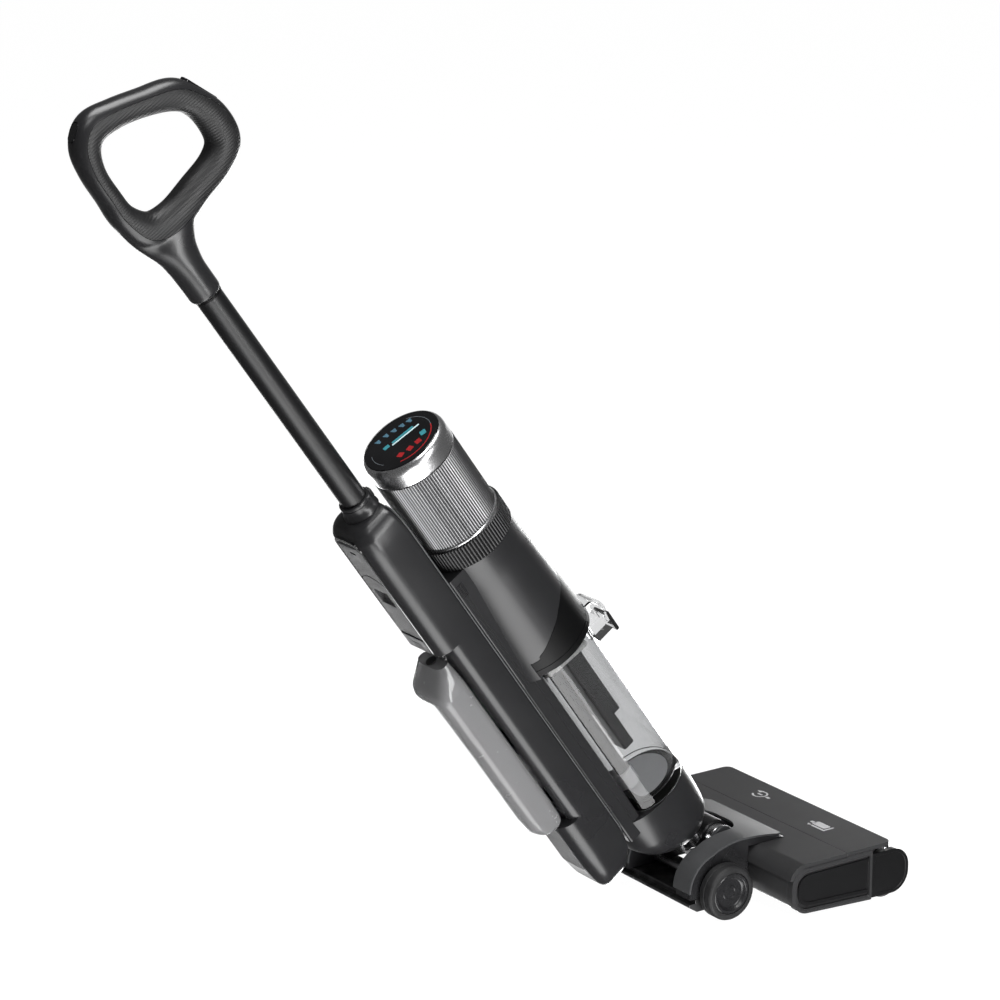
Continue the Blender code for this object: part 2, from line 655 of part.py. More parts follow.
def crown(body):
    """Knurled ring, fluted sleeve, metal bezel and round display."""
    centre = (0.0, CYL_Y, 0.0)
    count = 64
    rings = []
    for z, inner in ((RING_LOW, 0.0), (RING_TOP, 0.0)):
        rings.append([(_knurl(k, 0.0470, 0.0476) * math.cos(2.0 * math.pi * k / count),
                       CYL_Y + _knurl(k, 0.0470, 0.0476) * math.sin(2.0 * math.pi * k / count), z)
                      for k in range(count)])
    knurled = add("knurled_ring", bridge(rings), "shell_black", body)
    boolean(knurled, rod(0.0400, centre, 0.40, 0.50, "Z", 32))
    rings = []
    for z in (RING_TOP + GAP, RIB_TOP):
        rings.append([(_knurl(k, 0.0432, 0.0440) * math.cos(2.0 * math.pi * k / count),
                       CYL_Y + _knurl(k, 0.0432, 0.0440) * math.sin(2.0 * math.pi * k / count), z)
                      for k in range(count)])
    fluted = add("fluted_sleeve", bridge(rings), "silver", body)
    boolean(fluted, rod(0.0412, centre, 0.40, 0.60, "Z", 32))
    add("exhaust_filter", ring(0.0220, 0.0385, centre, 0.4760, 0.5540, "Z", 24), "filter_white", body)
    low = RIB_TOP + GAP
    profile = [(0.0365, low), (0.0430, low), (0.0436, low + 0.0012), (0.0438, 0.5720),
               (0.0432, 0.5760), (0.0420, 0.5782), (0.0404, DISPLAY - 0.0002), (0.0396, DISPLAY - 0.0006),
               (0.0396, 0.5700), (0.0365, 0.5700)]
    add("bezel_ring", turned(profile, centre, "Z", 40, close=True), "bezel_metal", body)
    add("display_glass", rod(0.0391, centre, 0.5745, DISPLAY, "Z", 40), "gloss_black", body)


def _knurl(k, low, high):
    return high if k % 2 else low


def tank_lid(body):
    """Dark lid of the recovery tank; its top follows the sloping seam."""
    made = add("tank_lid", bridge(barrel_rings((0.3033, 0.3300, 0.3700))), "shell_black", body)
    over = seam_line(-0.0004) + [(0.0700, 0.5), (-0.0700, 0.5)]
    boolean(made, along_x(over, -0.0700, 0.0700))
    boolean(made, block(-0.08, 0.08, 0.0446, 0.08, 0.29, 0.40))
    return made


def tank_plan(grow, z, radius=0.0450):
    """Round front and flat back, drawn as one ring."""
    points = []
    count = 32
    for k in range(count):
        a = 2.0 * math.pi * k / count
        x = (radius + grow) * math.cos(a)
        y = 0.0055 + (radius + grow) * math.sin(a)
        points.append((x, min(y, 0.0376 + grow), z))
    return points


def dirty_tank(body):
    """Clear recovery tank with a thick rounded foot and a lug for its clip."""
    rings = [tank_plan(-0.0060, TANK_BOTTOM), tank_plan(-0.0020, TANK_BOTTOM + 0.0018),
             tank_plan(0.0, TANK_BOTTOM + 0.0060), tank_plan(0.0, 0.2960), tank_plan(0.0, TANK_TOP)]
    made = add("dirty_tank", bridge(rings), "clear", body)
    lug = rounded([(-0.0590, 0.2560), (-0.0380, 0.2560), (-0.0380, 0.2765), (-0.0590, 0.2765)],
                  [0.002, 0.0, 0.0, 0.003], 3)
    boolean(made, along_x(lug, -0.0085, 0.0085), "UNION")
    line = [(-0.0584, 0.2680), (-0.0588, 0.2762), (-0.0618, 0.2795), (-0.0622, 0.2860),
            (-0.0600, 0.2960), (-0.0545, 0.3012), (-0.0480, 0.3026), (-0.0380, 0.3020)]
    hood = offset_strip(line, -0.0022)
    boolean(made, along_x(hood, -0.0120, 0.0120), "UNION")
    inside = [tank_plan(-0.0080, TANK_BOTTOM + 0.0060), tank_plan(-0.0030, TANK_BOTTOM + 0.0120),
              tank_plan(-0.0030, 0.3100)]
    boolean(made, bridge(inside))
    return made


def tank_insides(body):
    """Suction riser, stepped duct, float and filter that hang in the tank."""
    upper = box_outline(-0.0150, 0.0150, -0.0150, 0.0060, 0.0030, 3)
    duct = add("tank_duct", along_z(upper, 0.1860, 0.2800), "shell_dark", body)
    lower = box_outline(-0.0110, 0.0110, -0.0085, 0.0050, 0.0025, 3)
    boolean(duct, along_z(lower, 0.1410, 0.2000), "UNION")
    boolean(duct, along_z(box_outline(-0.0085, 0.0085, -0.0065, 0.0030, 0.0015, 2), 0.1200, 0.2900))
    add("suction_riser", ring(0.0070, 0.0084, (0.0, 0.0182, 0.0), 0.0996, 0.2796, "Z", 16),
        "clear", body)
    add("tank_float", ring(0.0088, 0.0122, (0.0, 0.0182, 0.0), 0.1010, 0.1210, "Z", 20),
        "light_plastic", body)
    add("tank_filter", along_z(rounded([(-0.0300, -0.0200), (0.0300, -0.0200), (0.0240, 0.0320),
                                        (-0.0240, 0.0320)], 0.006, 4), 0.2803, 0.3026),
        "filter_white", body)


def tank_clip(body):
    """Dark clip on the lug at the front of the tank."""
    clip = rounded([(-0.0632, 0.2510), (-0.0594, 0.2510), (-0.0594, 0.2757), (-0.0632, 0.2757)], 0.0012, 3)
    add("tank_clip", along_x(clip, -0.0100, 0.0100), "shell_black", body, (0.0, -0.0613, 0.2757))


# ---------------------------------------------------------------- tube and handle
def collar(body):
    centre = (0.0, TUBE_Y, 0.0)
    profile = [(TUBE_R + GAP, COLLAR_LOW), (0.0185, COLLAR_LOW), (0.0178, COLLAR_LOW + 0.0030),
               (0.0166, COLLAR_LOW + 0.0060), (0.0163, COLLAR_TOP - 0.0008),
               (0.0156, COLLAR_TOP), (TUBE_R + GAP, COLLAR_TOP)]
    made = add("tube_collar", turned(profile, centre, "Z", 24, close=True), "shell_dark", body)
    boolean(made, block(-0.0046, 0.0046, 0.0580, 0.0665, 0.5594, 0.5700))
    button = along_y(box_outline(-0.0042, 0.0042, 0.5598, 0.5696, 0.0020, 3), 0.0620, 0.0645)
    add("collar_button", button, "shell_black", body, (0.0, 0.0645, 0.5647))
    add("handle_tube", ring(0.0119, TUBE_R, centre, 0.5070, 0.8680, "Z", 24), "shell_black",
        body, centre)


def loop_points():
    """Centre line of the grip as (y, z, half thickness), from the lower back round."""
    knots = [(0.0890, 0.9190, 0.0165), (0.1015, 0.9440, 0.0125), (0.1022, 0.9700, 0.0108),
             (0.1010, 0.9960, 0.0112), (0.0935, 1.0180, 0.0140), (0.0780, 1.0285, 0.0155),
             (0.0540, 1.0240, 0.0135), (0.0280, 1.0140, 0.0130), (0.0010, 1.0003, 0.0148),
             (-0.0120, 0.9820, 0.0135), (-0.0185, 0.9580, 0.0155), (-0.0147, 0.9340, 0.0163),
             (0.0040, 0.9225, 0.0150), (0.0330, 0.9175, 0.0150), (0.0640, 0.9125, 0.0165)]
    return knots


def smooth_loop(knots, steps):
    """Closed Catmull-Rom curve through the knots."""
    out = []
    count = len(knots)
    for i in range(count):
        a, b, c, d = (Vector(knots[(i + j - 1) % count]) for j in range(4))
        for k in range(steps):
            t = k / steps
            point = 0.5 * (2.0 * b + (c - a) * t + (2.0 * a - 5.0 * b + 4.0 * c - d) * t * t
                           + (3.0 * b - a - 3.0 * c + d) * t * t * t)
            out.append(point)
    return out


def grip_section(low, high, steps=7):
    """Part of a rounded cross-section between two offsets across the loop."""
    points = []
    start = math.acos(max(-1.0, min(1.0, high)))
    end = math.acos(max(-1.0, min(1.0, low)))
    for side in (1.0, -1.0):
        for i in range(steps):
            f = i / (steps - 1.0)
            a = start + (end - start) * (f if side > 0 else 1.0 - f)
            if side < 0 and i == 0 and low <= -0.999:
                continue
            if side < 0 and i == steps - 1 and high >= 0.999:
                continue
            n = math.cos(a)
            w = side * abs(math.sin(a)) ** 0.80
            points.append((n, w))
    return points


def loop_body(low, high, shift, steps=2):
    path = smooth_loop(loop_points(), steps)
    shape = grip_section(low, high)
    rings = []
    count = len(path)
    for i in range(count):
        run = path[(i + 1) % count] - path[i - 1]
        out = Vector((run.y, -run.x)).normalized()
        here = path[i]
        ring_points = []
        for n, w in shape:
            reach = here.z * n + shift
            ring_points.append((GRIP_DEPTH * w, here.x + out.x * reach, here.y + out.y * reach))
        rings.append(ring_points)
    return bridge(rings, closed=True)


def handle(body):
    """Closed loop grip: dark outer shell, soft inner liner, two buttons."""
    shell = add("handle_shell", loop_body(LINER_EDGE, 1.0, 0.0002), "shell_dark", body)
    neck = [section(0.0153, 0.0650, 0.0966, HANDLE_LOW, 2.0, 24),
            section(0.0155, 0.0648, 0.0970, 0.8600, 2.0, 24),
            section(0.0153, 0.0614, 0.0981, 0.8800, 2.1, 24),
            section(0.0148, 0.0545, 0.0996, 0.8900, 2.2, 24),
            section(0.0142, 0.0430, 0.1028, 0.9000, 2.3, 24),
            section(0.0137, 0.0416, 0.1046, 0.9052, 2.4, 24)]
    boolean(shell, bridge(neck), "UNION")
    boolean(shell, rod(TUBE_R + GAP, (0.0, TUBE_Y, 0.0), 0.8000, 0.8700, "Z", 24))
    boolean(shell, button_block((0.0933, 1.0360), 58.0, 0.0094, 0.0064, 0.0300, -0.0055))
    boolean(shell, button_block((-0.0245, 0.9865), 158.0, 0.0204, 0.0054, 0.0300, -0.0055))
    add("grip_liner", loop_body(-1.0, LINER_EDGE, -0.0002), "rubber", body)
    add("power_button", button_block((0.0933, 1.0360), 58.0, 0.0090, 0.0060, 0.0010, -0.0036),
        "gloss_black", body, button_place((0.0933, 1.0360)))
    add("mode_button", button_block((-0.0245, 0.9865), 158.0, 0.0200, 0.0050, 0.0004, -0.0036),
        "gloss_black", body, button_place((-0.0245, 0.9865)))


def button_place(spot):
    return (0.0, spot[0], spot[1])


def button_block(spot, facing, half_long, half_wide, out, inward):
    """Rounded slab on the loop's outer side, facing an angle in the side view."""
    outline = box_outline(-half_wide, half_wide, -half_long, half_long, half_wide * 0.8, 4)
    bm = along_y(outline, inward, out)
    bmesh.ops.rotate(bm, verts=bm.verts, cent=(0.0, 0.0, 0.0),
                     matrix=Matrix.Rotation(math.radians(facing), 3, "X"))
    bmesh.ops.translate(bm, verts=bm.verts, vec=(0.0, spot[0], spot[1]))
    return bm


def build():
    clear_scene()
    floor = empty("floor_frame", None, (0.0, AXLE_Y, 0.0))
    body = empty("body_frame", floor, (0.0, BODY_Y, BODY_Z), -LEAN)
    head_base(floor)
    head_fittings(floor)
    head_rear_cover(floor)
    head_front_cover(floor)
    front_guard(floor)
    for side in (-1.0, 1.0):
        head_end(side, floor)
        wheel(side, floor)
        pivot_cap(side, floor)
    roller(floor)
    fork_frame(floor)
    fork_cover(floor)
    axle_bar(floor)
    knuckle(body)
    body_boss(body)
    spine(body)
    battery(body)
    clean_tank(body)
    spine_internals(body)
    motor_housing(body)
    fan(body)
    crown(body)
    tank_lid(body)
    dirty_tank(body)
    tank_insides(body)
    tank_clip(body)
    collar(body)
    handle(body)


build()
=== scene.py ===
"""Looks of a cordless upright floor washer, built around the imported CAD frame.

Metres throughout. FLOOR is the head's own frame: y = 0 on the rear wheel axle, z = 0 on the floor.
BODY is the leaning body's frame: z runs up the body, y runs to its back, x to its left.
"""
import json
import math

import bmesh
import bpy
from mathutils import Matrix, Vector, noise


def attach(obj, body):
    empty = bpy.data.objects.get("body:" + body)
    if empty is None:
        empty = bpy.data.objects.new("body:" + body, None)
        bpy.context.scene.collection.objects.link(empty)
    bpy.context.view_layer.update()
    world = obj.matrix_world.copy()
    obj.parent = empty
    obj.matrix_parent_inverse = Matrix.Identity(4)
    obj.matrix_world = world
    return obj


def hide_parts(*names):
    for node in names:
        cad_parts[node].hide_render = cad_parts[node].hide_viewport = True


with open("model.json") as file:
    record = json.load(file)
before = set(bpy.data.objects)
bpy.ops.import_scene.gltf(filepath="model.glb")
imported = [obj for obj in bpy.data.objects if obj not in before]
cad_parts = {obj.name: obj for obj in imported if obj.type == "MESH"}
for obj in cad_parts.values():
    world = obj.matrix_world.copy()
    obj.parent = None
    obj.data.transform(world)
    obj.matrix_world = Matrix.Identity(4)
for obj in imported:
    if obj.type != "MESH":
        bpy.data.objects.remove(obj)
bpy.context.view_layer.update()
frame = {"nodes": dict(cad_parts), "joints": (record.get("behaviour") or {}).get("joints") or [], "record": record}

# ---------------------------------------------------------------- places taken from the frame
JOINTS = {joint["name"]: joint for joint in frame["joints"]}
UP = Vector(JOINTS["body_swivel"]["axis"]).normalized()
BACK = Vector(JOINTS["clean_tank_slide"]["axis"]).normalized()
AXLE = Vector(JOINTS["wheel_left_spin"]["pos_m"])
HINGE = Vector(JOINTS["body_tilt"]["pos_m"])
SWIVEL_Y = 0.003
NECK_TOP = 0.005
BODY_ORIGIN = Vector(JOINTS["body_swivel"]["pos_m"]) - BACK * SWIVEL_Y - UP * NECK_TOP
BODY = Matrix.Translation(BODY_ORIGIN) @ Matrix((Vector((1.0, 0.0, 0.0)), BACK, UP)).transposed().to_4x4()
FLOOR = Matrix.Translation((0.0, AXLE.y, 0.0))
HINGE_IN_BODY = BODY.inverted() @ HINGE
HINGE_IN_FLOOR = FLOOR.inverted() @ HINGE

# ---------------------------------------------------------------- driving dimensions
HEAD_HALF = 0.1348
END_INNER = 0.1276
HEAD_TOP = 0.065
ROLLER_R = 0.024
ROLLER_Y = -0.1664
ROLLER_Z = 0.024
SCRAPER_LEAN = 25.0
SEAM_Y = -0.1073
AXLE_Z = 0.0287
WHEEL_R = 0.0287
WHEEL_IN = 0.0662
WHEEL_OUT = 0.0852
HUB_R = 0.0218
ARM_OUT = 0.064
CYL_Y = 0.009
TUBE_Y = 0.08
TUBE_R = 0.0131
SPINE_FRONT = 0.0635
TANK_BOTTOM = 0.087
TANK_TOP = 0.303
RING_LOW = 0.45
RING_TOP = 0.474
RIB_TOP = 0.557
DISPLAY = 0.5796
COLLAR_LOW = 0.5563
COLLAR_TOP = 0.5715
HANDLE_LOW = 0.8345
GRIP_DEPTH = 0.014
TANK_R = 0.045
TANK_Y = 0.0055
TANK_FLAT = 0.0321
FINE = 96
VERY_FINE = 144
SIDES = ((-1.0, "right"), (1.0, "left"))


# ---------------------------------------------------------------- outlines
def arc(cy, cz, radius, start, end, steps):
    """Points on a circle in a plane, angles in degrees."""
    points = []
    for i in range(steps + 1):
        a = math.radians(start + (end - start) * i / steps)
        points.append((cy + radius * math.cos(a), cz + radius * math.sin(a)))
    return points


def turns(count):
    """Evenly spaced angles of one full turn."""
    return [2.0 * math.pi * k / count for k in range(count)]


def rounded(points, radii, steps=8):
    """Closed outline with each corner replaced by an arc of its own radius."""
    if not isinstance(radii, (list, tuple)):
        radii = [radii] * len(points)
    out = []
    for i, corner in enumerate(points):
        here = Vector(corner)
        before = (Vector(points[i - 1]) - here).normalized()
        after = (Vector(points[(i + 1) % len(points)]) - here).normalized()
        if radii[i] <= 0.0:
            out.append(tuple(here))
            continue
        half = before.angle(after) / 2.0
        reach = radii[i] / math.tan(half)
        centre = here + (before + after).normalized() * (radii[i] / math.sin(half))
        first = here + before * reach - centre
        last = here + after * reach - centre
        sweep = first.angle_signed(last)
        for k in range(steps + 1):
            spin = Matrix.Rotation(-sweep * k / steps, 2)
            out.append(tuple(centre + spin @ first))
    return out


def box_outline(u0, u1, v0, v1, radius=0.0, steps=6):
    return rounded([(u0, v0), (u1, v0), (u1, v1), (u0, v1)], radius, steps)


def curve_through(knots, steps, closed=False):
    """Catmull-Rom curve through points with any number of values each."""
    out = []
    count = len(knots)
    spans = count if closed else count - 1
    for i in range(spans):
        if closed:
            a, b, c, d = (knots[(i + j - 1) % count] for j in range(4))
        else:
            a, b, c, d = (knots[min(max(i + j - 1, 0), count - 1)] for j in range(4))
        for k in range(steps):
            t = k / steps
            out.append(tuple((0.5 * (2.0 * q + (r - p) * t + (2.0 * p - 5.0 * q + 4.0 * r - s) * t * t
                                     + (3.0 * q - p - 3.0 * r + s) * t ** 3)
                              for p, q, r, s in zip(a, b, c, d))))
    if not closed:
        out.append(tuple(knots[-1]))
    return out


def through_heights(rows, at, steps):
    """Rows refined with a smooth curve that never overshoots; column `at` rises from row to row."""
    def slopes(column):
        rates = [(b[column] - a[column]) / (b[at] - a[at]) for a, b in zip(rows, rows[1:])]
        inner = [2.0 * a * b / (a + b) if a * b > 0.0 else 0.0 for a, b in zip(rates, rates[1:])]
        return [rates[0]] + inner + [rates[-1]]

    columns = [slopes(column) for column in range(len(rows[0]))]
    out = []
    for i, (low, high) in enumerate(zip(rows, rows[1:])):
        rise = high[at] - low[at]
        for k in range(steps):
            t = k / steps
            out.append(tuple(((2.0 * t ** 3 - 3.0 * t * t + 1.0) * low[c]
                              + (t ** 3 - 2.0 * t * t + t) * rise * columns[c][i]
                              + (3.0 * t * t - 2.0 * t ** 3) * high[c]
                              + (t ** 3 - t * t) * rise * columns[c][i + 1] for c in range(len(low)))))
    out.append(tuple(rows[-1]))
    return out


def heading(points, i):
    """Direction of an open line at one of its points."""
    return Vector(points[min(i + 1, len(points) - 1)]) - Vector(points[max(i - 1, 0)])


def shifted(points, reach):
    """An open line in a plane, moved to its left side."""
    out = []
    for i, point in enumerate(points):
        run = heading(points, i)
        out.append(tuple(Vector(point) + Vector((-run.y, run.x)).normalized() * reach))
    return out


def plate_line(points, first, last):
    """Closed outline between a line moved by two distances."""
    return shifted(points, first) + shifted(points, last)[::-1]


def span(side, inner, outer):
    """Low and high x of a stretch on one side of the middle."""
    return sorted((side * inner, side * outer))


def placed(outline, x, y, turn=0.0):
    """Outline turned by an angle and moved in its own plane."""
    spin = Matrix.Rotation(math.radians(turn), 2)
    return [tuple(spin @ Vector(p) + Vector((x, y))) for p in outline]


def steps_between(low, high, count):
    return [low + (high - low) * k / count for k in range(count + 1)]


def section(half_x, front, back, z, power, count=64):
    """Superellipse ring between a front and a back y."""
    mid = (front + back) / 2.0
    half_y = (back - front) / 2.0
    points = []
    for a in turns(count):
        c = math.cos(a)
        s = math.sin(a)
        x = half_x * math.copysign(abs(c) ** (2.0 / power), c)
        y = half_y * math.copysign(abs(s) ** (2.0 / power), s)
        points.append((x, mid + y, z))
    return points


def smoothstep(low, high, value):
    t = min(1.0, max(0.0, (value - low) / (high - low)))
    return t * t * (3.0 - 2.0 * t)


# ---------------------------------------------------------------- solids
def bridge(rings, closed=False):
    """Skin through rings of equal count; capped unless it closes on itself."""
    bm = bmesh.new()
    rows = [[bm.verts.new(p) for p in ring] for ring in rings]
    count = len(rows[0])
    pairs = len(rows) if closed else len(rows) - 1
    for i in range(pairs):
        low = rows[i]
        high = rows[(i + 1) % len(rows)]
        for k in range(count):
            n = (k + 1) % count
            bm.faces.new((low[k], low[n], high[n], high[k]))
    if not closed:
        bm.faces.new(list(reversed(rows[0])))
        bm.faces.new(rows[-1])
    return bm


def along_x(outline, x0, x1):
    return bridge([[(x, y, z) for y, z in outline] for x in (x0, x1)])


def along_y(outline, y0, y1):
    return bridge([[(x, y, z) for x, z in outline] for y in (y0, y1)])


def along_z(outline, z0, z1):
    return bridge([[(x, y, z) for x, y in outline] for z in (z0, z1)])


def block(x0, x1, y0, y1, z0, z1):
    return along_z([(x0, y0), (x1, y0), (x1, y1), (x0, y1)], z0, z1)


def turned(profile, centre, axis="Z", segments=FINE, close=False):
    """Body of revolution; profile is (radius, height), closed on itself for a ring."""
    bm = bmesh.new()
    place = {"Z": lambda r, h, a: (r * math.cos(a), r * math.sin(a), h), "X": lambda r, h,
             a: (h, r * math.sin(a), -r * math.cos(a)), "Y": lambda r, h,
             a: (r * math.sin(a), h, r * math.cos(a))}[axis]
    rows = []
    for radius, height in profile:
        steps = 1 if radius == 0.0 else segments
        rows.append([bm.verts.new(Vector(place(radius, height, 2.0 * math.pi * k / steps)) + Vector(centre))
                     for k in range(steps)])
    spans = len(rows) if close else len(rows) - 1
    for i in range(spans):
        low = rows[i]
        high = rows[(i + 1) % len(rows)]
        for k in range(segments):
            n = (k + 1) % segments
            if len(low) == 1:
                bm.faces.new((low[0], high[k], high[n]))
            elif len(high) == 1:
                bm.faces.new((low[k], low[n], high[0]))
            else:
                bm.faces.new((low[k], low[n], high[n], high[k]))
    return bm


def hoop(profile, centre, axis, segments):
    """Body of revolution with a hole; its profile closes on itself."""
    return turned(profile, centre, axis, segments, close=True)


def rod(radius, centre, lo, hi, axis="X", segments=48):
    return turned([(0.0, lo), (radius, lo), (radius, hi), (0.0, hi)], centre, axis, segments)


def merged(parts):
    """Several bmeshes as one."""
    out = bmesh.new()
    for part in parts:
        mesh = bpy.data.meshes.new("part")
        part.to_mesh(mesh)
        part.free()
        out.from_mesh(mesh)
        bpy.data.meshes.remove(mesh)
    return out


def solid(bm, where=BODY):
    """Object from a bmesh, standing in the leaning body's frame unless another is given."""
    bmesh.ops.recalc_face_normals(bm, faces=bm.faces)
    mesh = bpy.data.meshes.new("solid")
    bm.to_mesh(mesh)
    bm.free()
    made = bpy.data.objects.new("solid", mesh)
    bpy.context.scene.collection.objects.link(made)
    made.matrix_world = where
    return made


def bake_modifiers(item):
    """Turn the modifiers' result into the object's own mesh."""
    bpy.context.view_layer.update()
    graph = bpy.context.evaluated_depsgraph_get()
    mesh = bpy.data.meshes.new_from_object(item.evaluated_get(graph))
    old = item.data
    item.modifiers.clear()
    item.data = mesh
    bpy.data.meshes.remove(old)
    return item


def cut(item, bm, operation="DIFFERENCE"):
    """Boolean with a shape given in the item's own axes."""
    tool = solid(bm, item.matrix_world)
    step = item.modifiers.new("cut", "BOOLEAN")
    step.operation = operation
    step.solver = "EXACT"
    step.object = tool
    bake_modifiers(item)
    mesh = tool.data
    bpy.data.objects.remove(tool)
    bpy.data.meshes.remove(mesh)
    return item


def soften(item, width, segments=3, angle=35.0):
    """Round the item's edges that are sharper than an angle."""
    step = item.modifiers.new("edge", "BEVEL")
    step.width = width
    step.segments = segments
    step.limit_method = "ANGLE"
    step.angle_limit = math.radians(angle)
    step.use_clamp_overlap = True
    return bake_modifiers(item)


def settle(item, name, body, slot, nodes=(), sharp=38.0, look=None):
    """Name, shade and finish a piece, and let it ride on its body; its look is its slot's unless given."""
    item.name = name
    item.data.name = name
    item.data.transform(item.matrix_world)
    item.matrix_world = Matrix.Identity(4)
    item.data.shade_smooth()
    item.data.set_sharp_from_angle(angle=math.radians(sharp))
    item.data.materials.clear()
    item.data.materials.append(LOOKS[look or slot])
    weighted = item.modifiers.new("weighted", "WEIGHTED_NORMAL")
    weighted.keep_sharp = True
    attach(item, body)
    if nodes:
        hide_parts(*nodes)
    return item


# ---------------------------------------------------------------- materials
class Graph:
    """A material's node tree with short calls for the nodes used here."""

    def __init__(self, name):
        found = bpy.data.materials.new(name)
        found.use_nodes = True
        self.material = found
        self.tree = found.node_tree
        self.shader = self.tree.nodes["Principled BSDF"]
        self.coords = self.tree.nodes.new("ShaderNodeTexCoord").outputs["Object"]

    def node(self, kind, **settings):
        made = self.tree.nodes.new(kind)
        for key, value in settings.items():
            setattr(made, key, value)
        return made

    def link(self, source, target):
        self.tree.links.new(source, target)

    def surface(self, colour, roughness, normal, **values):
        """Feed the shader, set its plain values, and give back the material."""
        inputs = self.shader.inputs
        self.link(colour, inputs["Base Color"])
        self.link(roughness, inputs["Roughness"])
        if normal is not None:
            self.link(normal, inputs["Normal"])
        for key, value in values.items():
            inputs[key.replace("_", " ")].default_value = value
        return self.material

    def along_body(self):
        """Texture coordinates turned so that z runs up the leaning body."""
        mapping = self.node("ShaderNodeMapping")
        mapping.inputs["Rotation"].default_value = (math.atan2(UP.y, UP.z), 0.0, 0.0)
        self.link(self.coords, mapping.inputs["Vector"])
        return mapping.outputs["Vector"]

    def noise(self, scale, detail=3.0, roughness=0.5, stretch=(1.0, 1.0, 1.0), leaning=False):
        mapping = self.node("ShaderNodeMapping")
        mapping.inputs["Scale"].default_value = stretch
        self.link(self.along_body() if leaning else self.coords, mapping.inputs["Vector"])
        made = self.node("ShaderNodeTexNoise")
        made.inputs["Scale"].default_value = scale
        made.inputs["Detail"].default_value = detail
        made.inputs["Roughness"].default_value = roughness
        self.link(mapping.outputs["Vector"], made.inputs["Vector"])
        return made.outputs["Fac"]

    def remap(self, source, low, high, from_low=0.3, from_high=0.7):
        made = self.node("ShaderNodeMapRange")
        made.inputs["From Min"].default_value = from_low
        made.inputs["From Max"].default_value = from_high
        made.inputs["To Min"].default_value = low
        made.inputs["To Max"].default_value = high
        self.link(source, made.inputs["Value"])
        return made.outputs["Result"]

    def blend_colour(self, factor, first, second):
        made = self.node("ShaderNodeMix", data_type="RGBA")
        made.inputs["A"].default_value = (*first, 1.0)
        made.inputs["B"].default_value = (*second, 1.0)
        self.link(factor, made.inputs["Factor"])
        return made.outputs["Result"]

    def bump(self, height, strength, distance, under=None):
        made = self.node("ShaderNodeBump")
        made.inputs["Strength"].default_value = strength
        made.inputs["Distance"].default_value = distance
        self.link(height, made.inputs["Height"])
        if under is not None:
            self.link(under, made.inputs["Normal"])
        return made.outputs["Normal"]


def tinted(colour, gain, lift=0.0):
    return tuple((min(1.0, c * gain + lift) for c in colour))


def moulded(name, colour, rough, worn=0.12, shine=0.5):
    """Satin moulded plastic: fine spark-eroded grain, smudged gloss, faint rub marks."""
    g = Graph(name)
    smudge = g.noise(9.0, 3.0, 0.55)
    fine = g.noise(1700.0, 2.0, 0.55)
    rub = g.noise(60.0, 5.0, 0.7, (1.0, 0.25, 1.0))
    return g.surface(g.blend_colour(g.remap(rub, 0.0, 1.0, 0.3, 0.8), colour, tinted(colour, 1.0 + worn)),
                     g.remap(smudge, rough - 0.04, rough + 0.04), g.bump(fine, 0.5, 0.000012),
                     Specular_IOR_Level=shine)


def speckled(name, colour, rough):
    """Panel with a coarse eroded texture that sparkles in fine dots."""
    g = Graph(name)
    dots = g.noise(1500.0, 1.0, 0.5)
    cloud = g.noise(30.0, 3.0)
    return g.surface(g.blend_colour(g.remap(dots, 0.0, 1.0, 0.36, 0.66), tinted(colour, 0.6),
                                    tinted(colour, 1.9)), g.remap(cloud, rough - 0.05, rough + 0.06),
                     g.bump(dots, 0.8, 0.00018))


def knurled_rubber(name, colour, pitch):
    """Soft rubber with fine grip lines across it and dust in its pores."""
    g = Graph(name)
    wave = g.node("ShaderNodeTexWave", wave_type="BANDS", bands_direction="Z")
    wave.inputs["Scale"].default_value = 1.0 / (pitch * 3.1)
    g.link(g.along_body(), wave.inputs["Vector"])
    cloud = g.noise(40.0, 4.0)
    pores = g.bump(g.noise(1800.0, 2.0), 0.4, 0.00003)
    return g.surface(g.blend_colour(g.remap(cloud, 0.0, 1.0, 0.35, 0.8), colour,
                                    tinted(colour, 1.6, 0.002)), g.remap(cloud, 0.42, 0.56),
                     g.bump(wave.outputs["Fac"], 0.6, 0.00022, pores))


def plain_rubber(name, colour):
    """Tyre and seal rubber with a dull, uneven bloom."""
    g = Graph(name)
    bloom = g.noise(60.0, 4.0, 0.65)
    return g.surface(g.blend_colour(g.remap(bloom, 0.0, 1.0, 0.4, 0.75), colour,
                                    tinted(colour, 1.6, 0.003)), g.remap(bloom, 0.55, 0.72),
                     g.bump(g.noise(1400.0, 3.0), 0.6, 0.00008))


def metal(name, colour, rough, brush, scale, depth, leaning=False):
    """Metal whose brushing or polish follows a stretched noise."""
    g = Graph(name)
    lines = g.noise(scale, 3.0, 0.6, brush, leaning)
    haze = g.noise(70.0 if leaning else 12.0, 2.0, 0.5, brush, leaning)
    darker = tinted(colour, 0.45 if leaning else 0.92)
    return g.surface(g.blend_colour(g.remap(haze, 0.0, 1.0), darker, colour),
                     g.remap(lines, rough - 0.02, rough + 0.03), g.bump(lines, 0.4, depth), Metallic=1.0)


def glass_like(name, colour, rough, weight=1.0, ior=1.46):
    """Clear or tinted moulded plastic with faint flow lines and a wiped surface."""
    g = Graph(name)
    flow = g.noise(18.0, 2.0, 0.5, (1.0, 1.0, 0.3))
    wiped = g.noise(90.0, 4.0, 0.6)
    return g.surface(g.blend_colour(g.remap(flow, 0.0, 1.0), tinted(colour, 0.95), colour),
                     g.remap(wiped, rough, rough + 0.035), g.bump(flow, 0.15, 0.0003),
                     Transmission_Weight=weight, IOR=ior, Coat_Weight=0.6, Coat_Roughness=0.03)


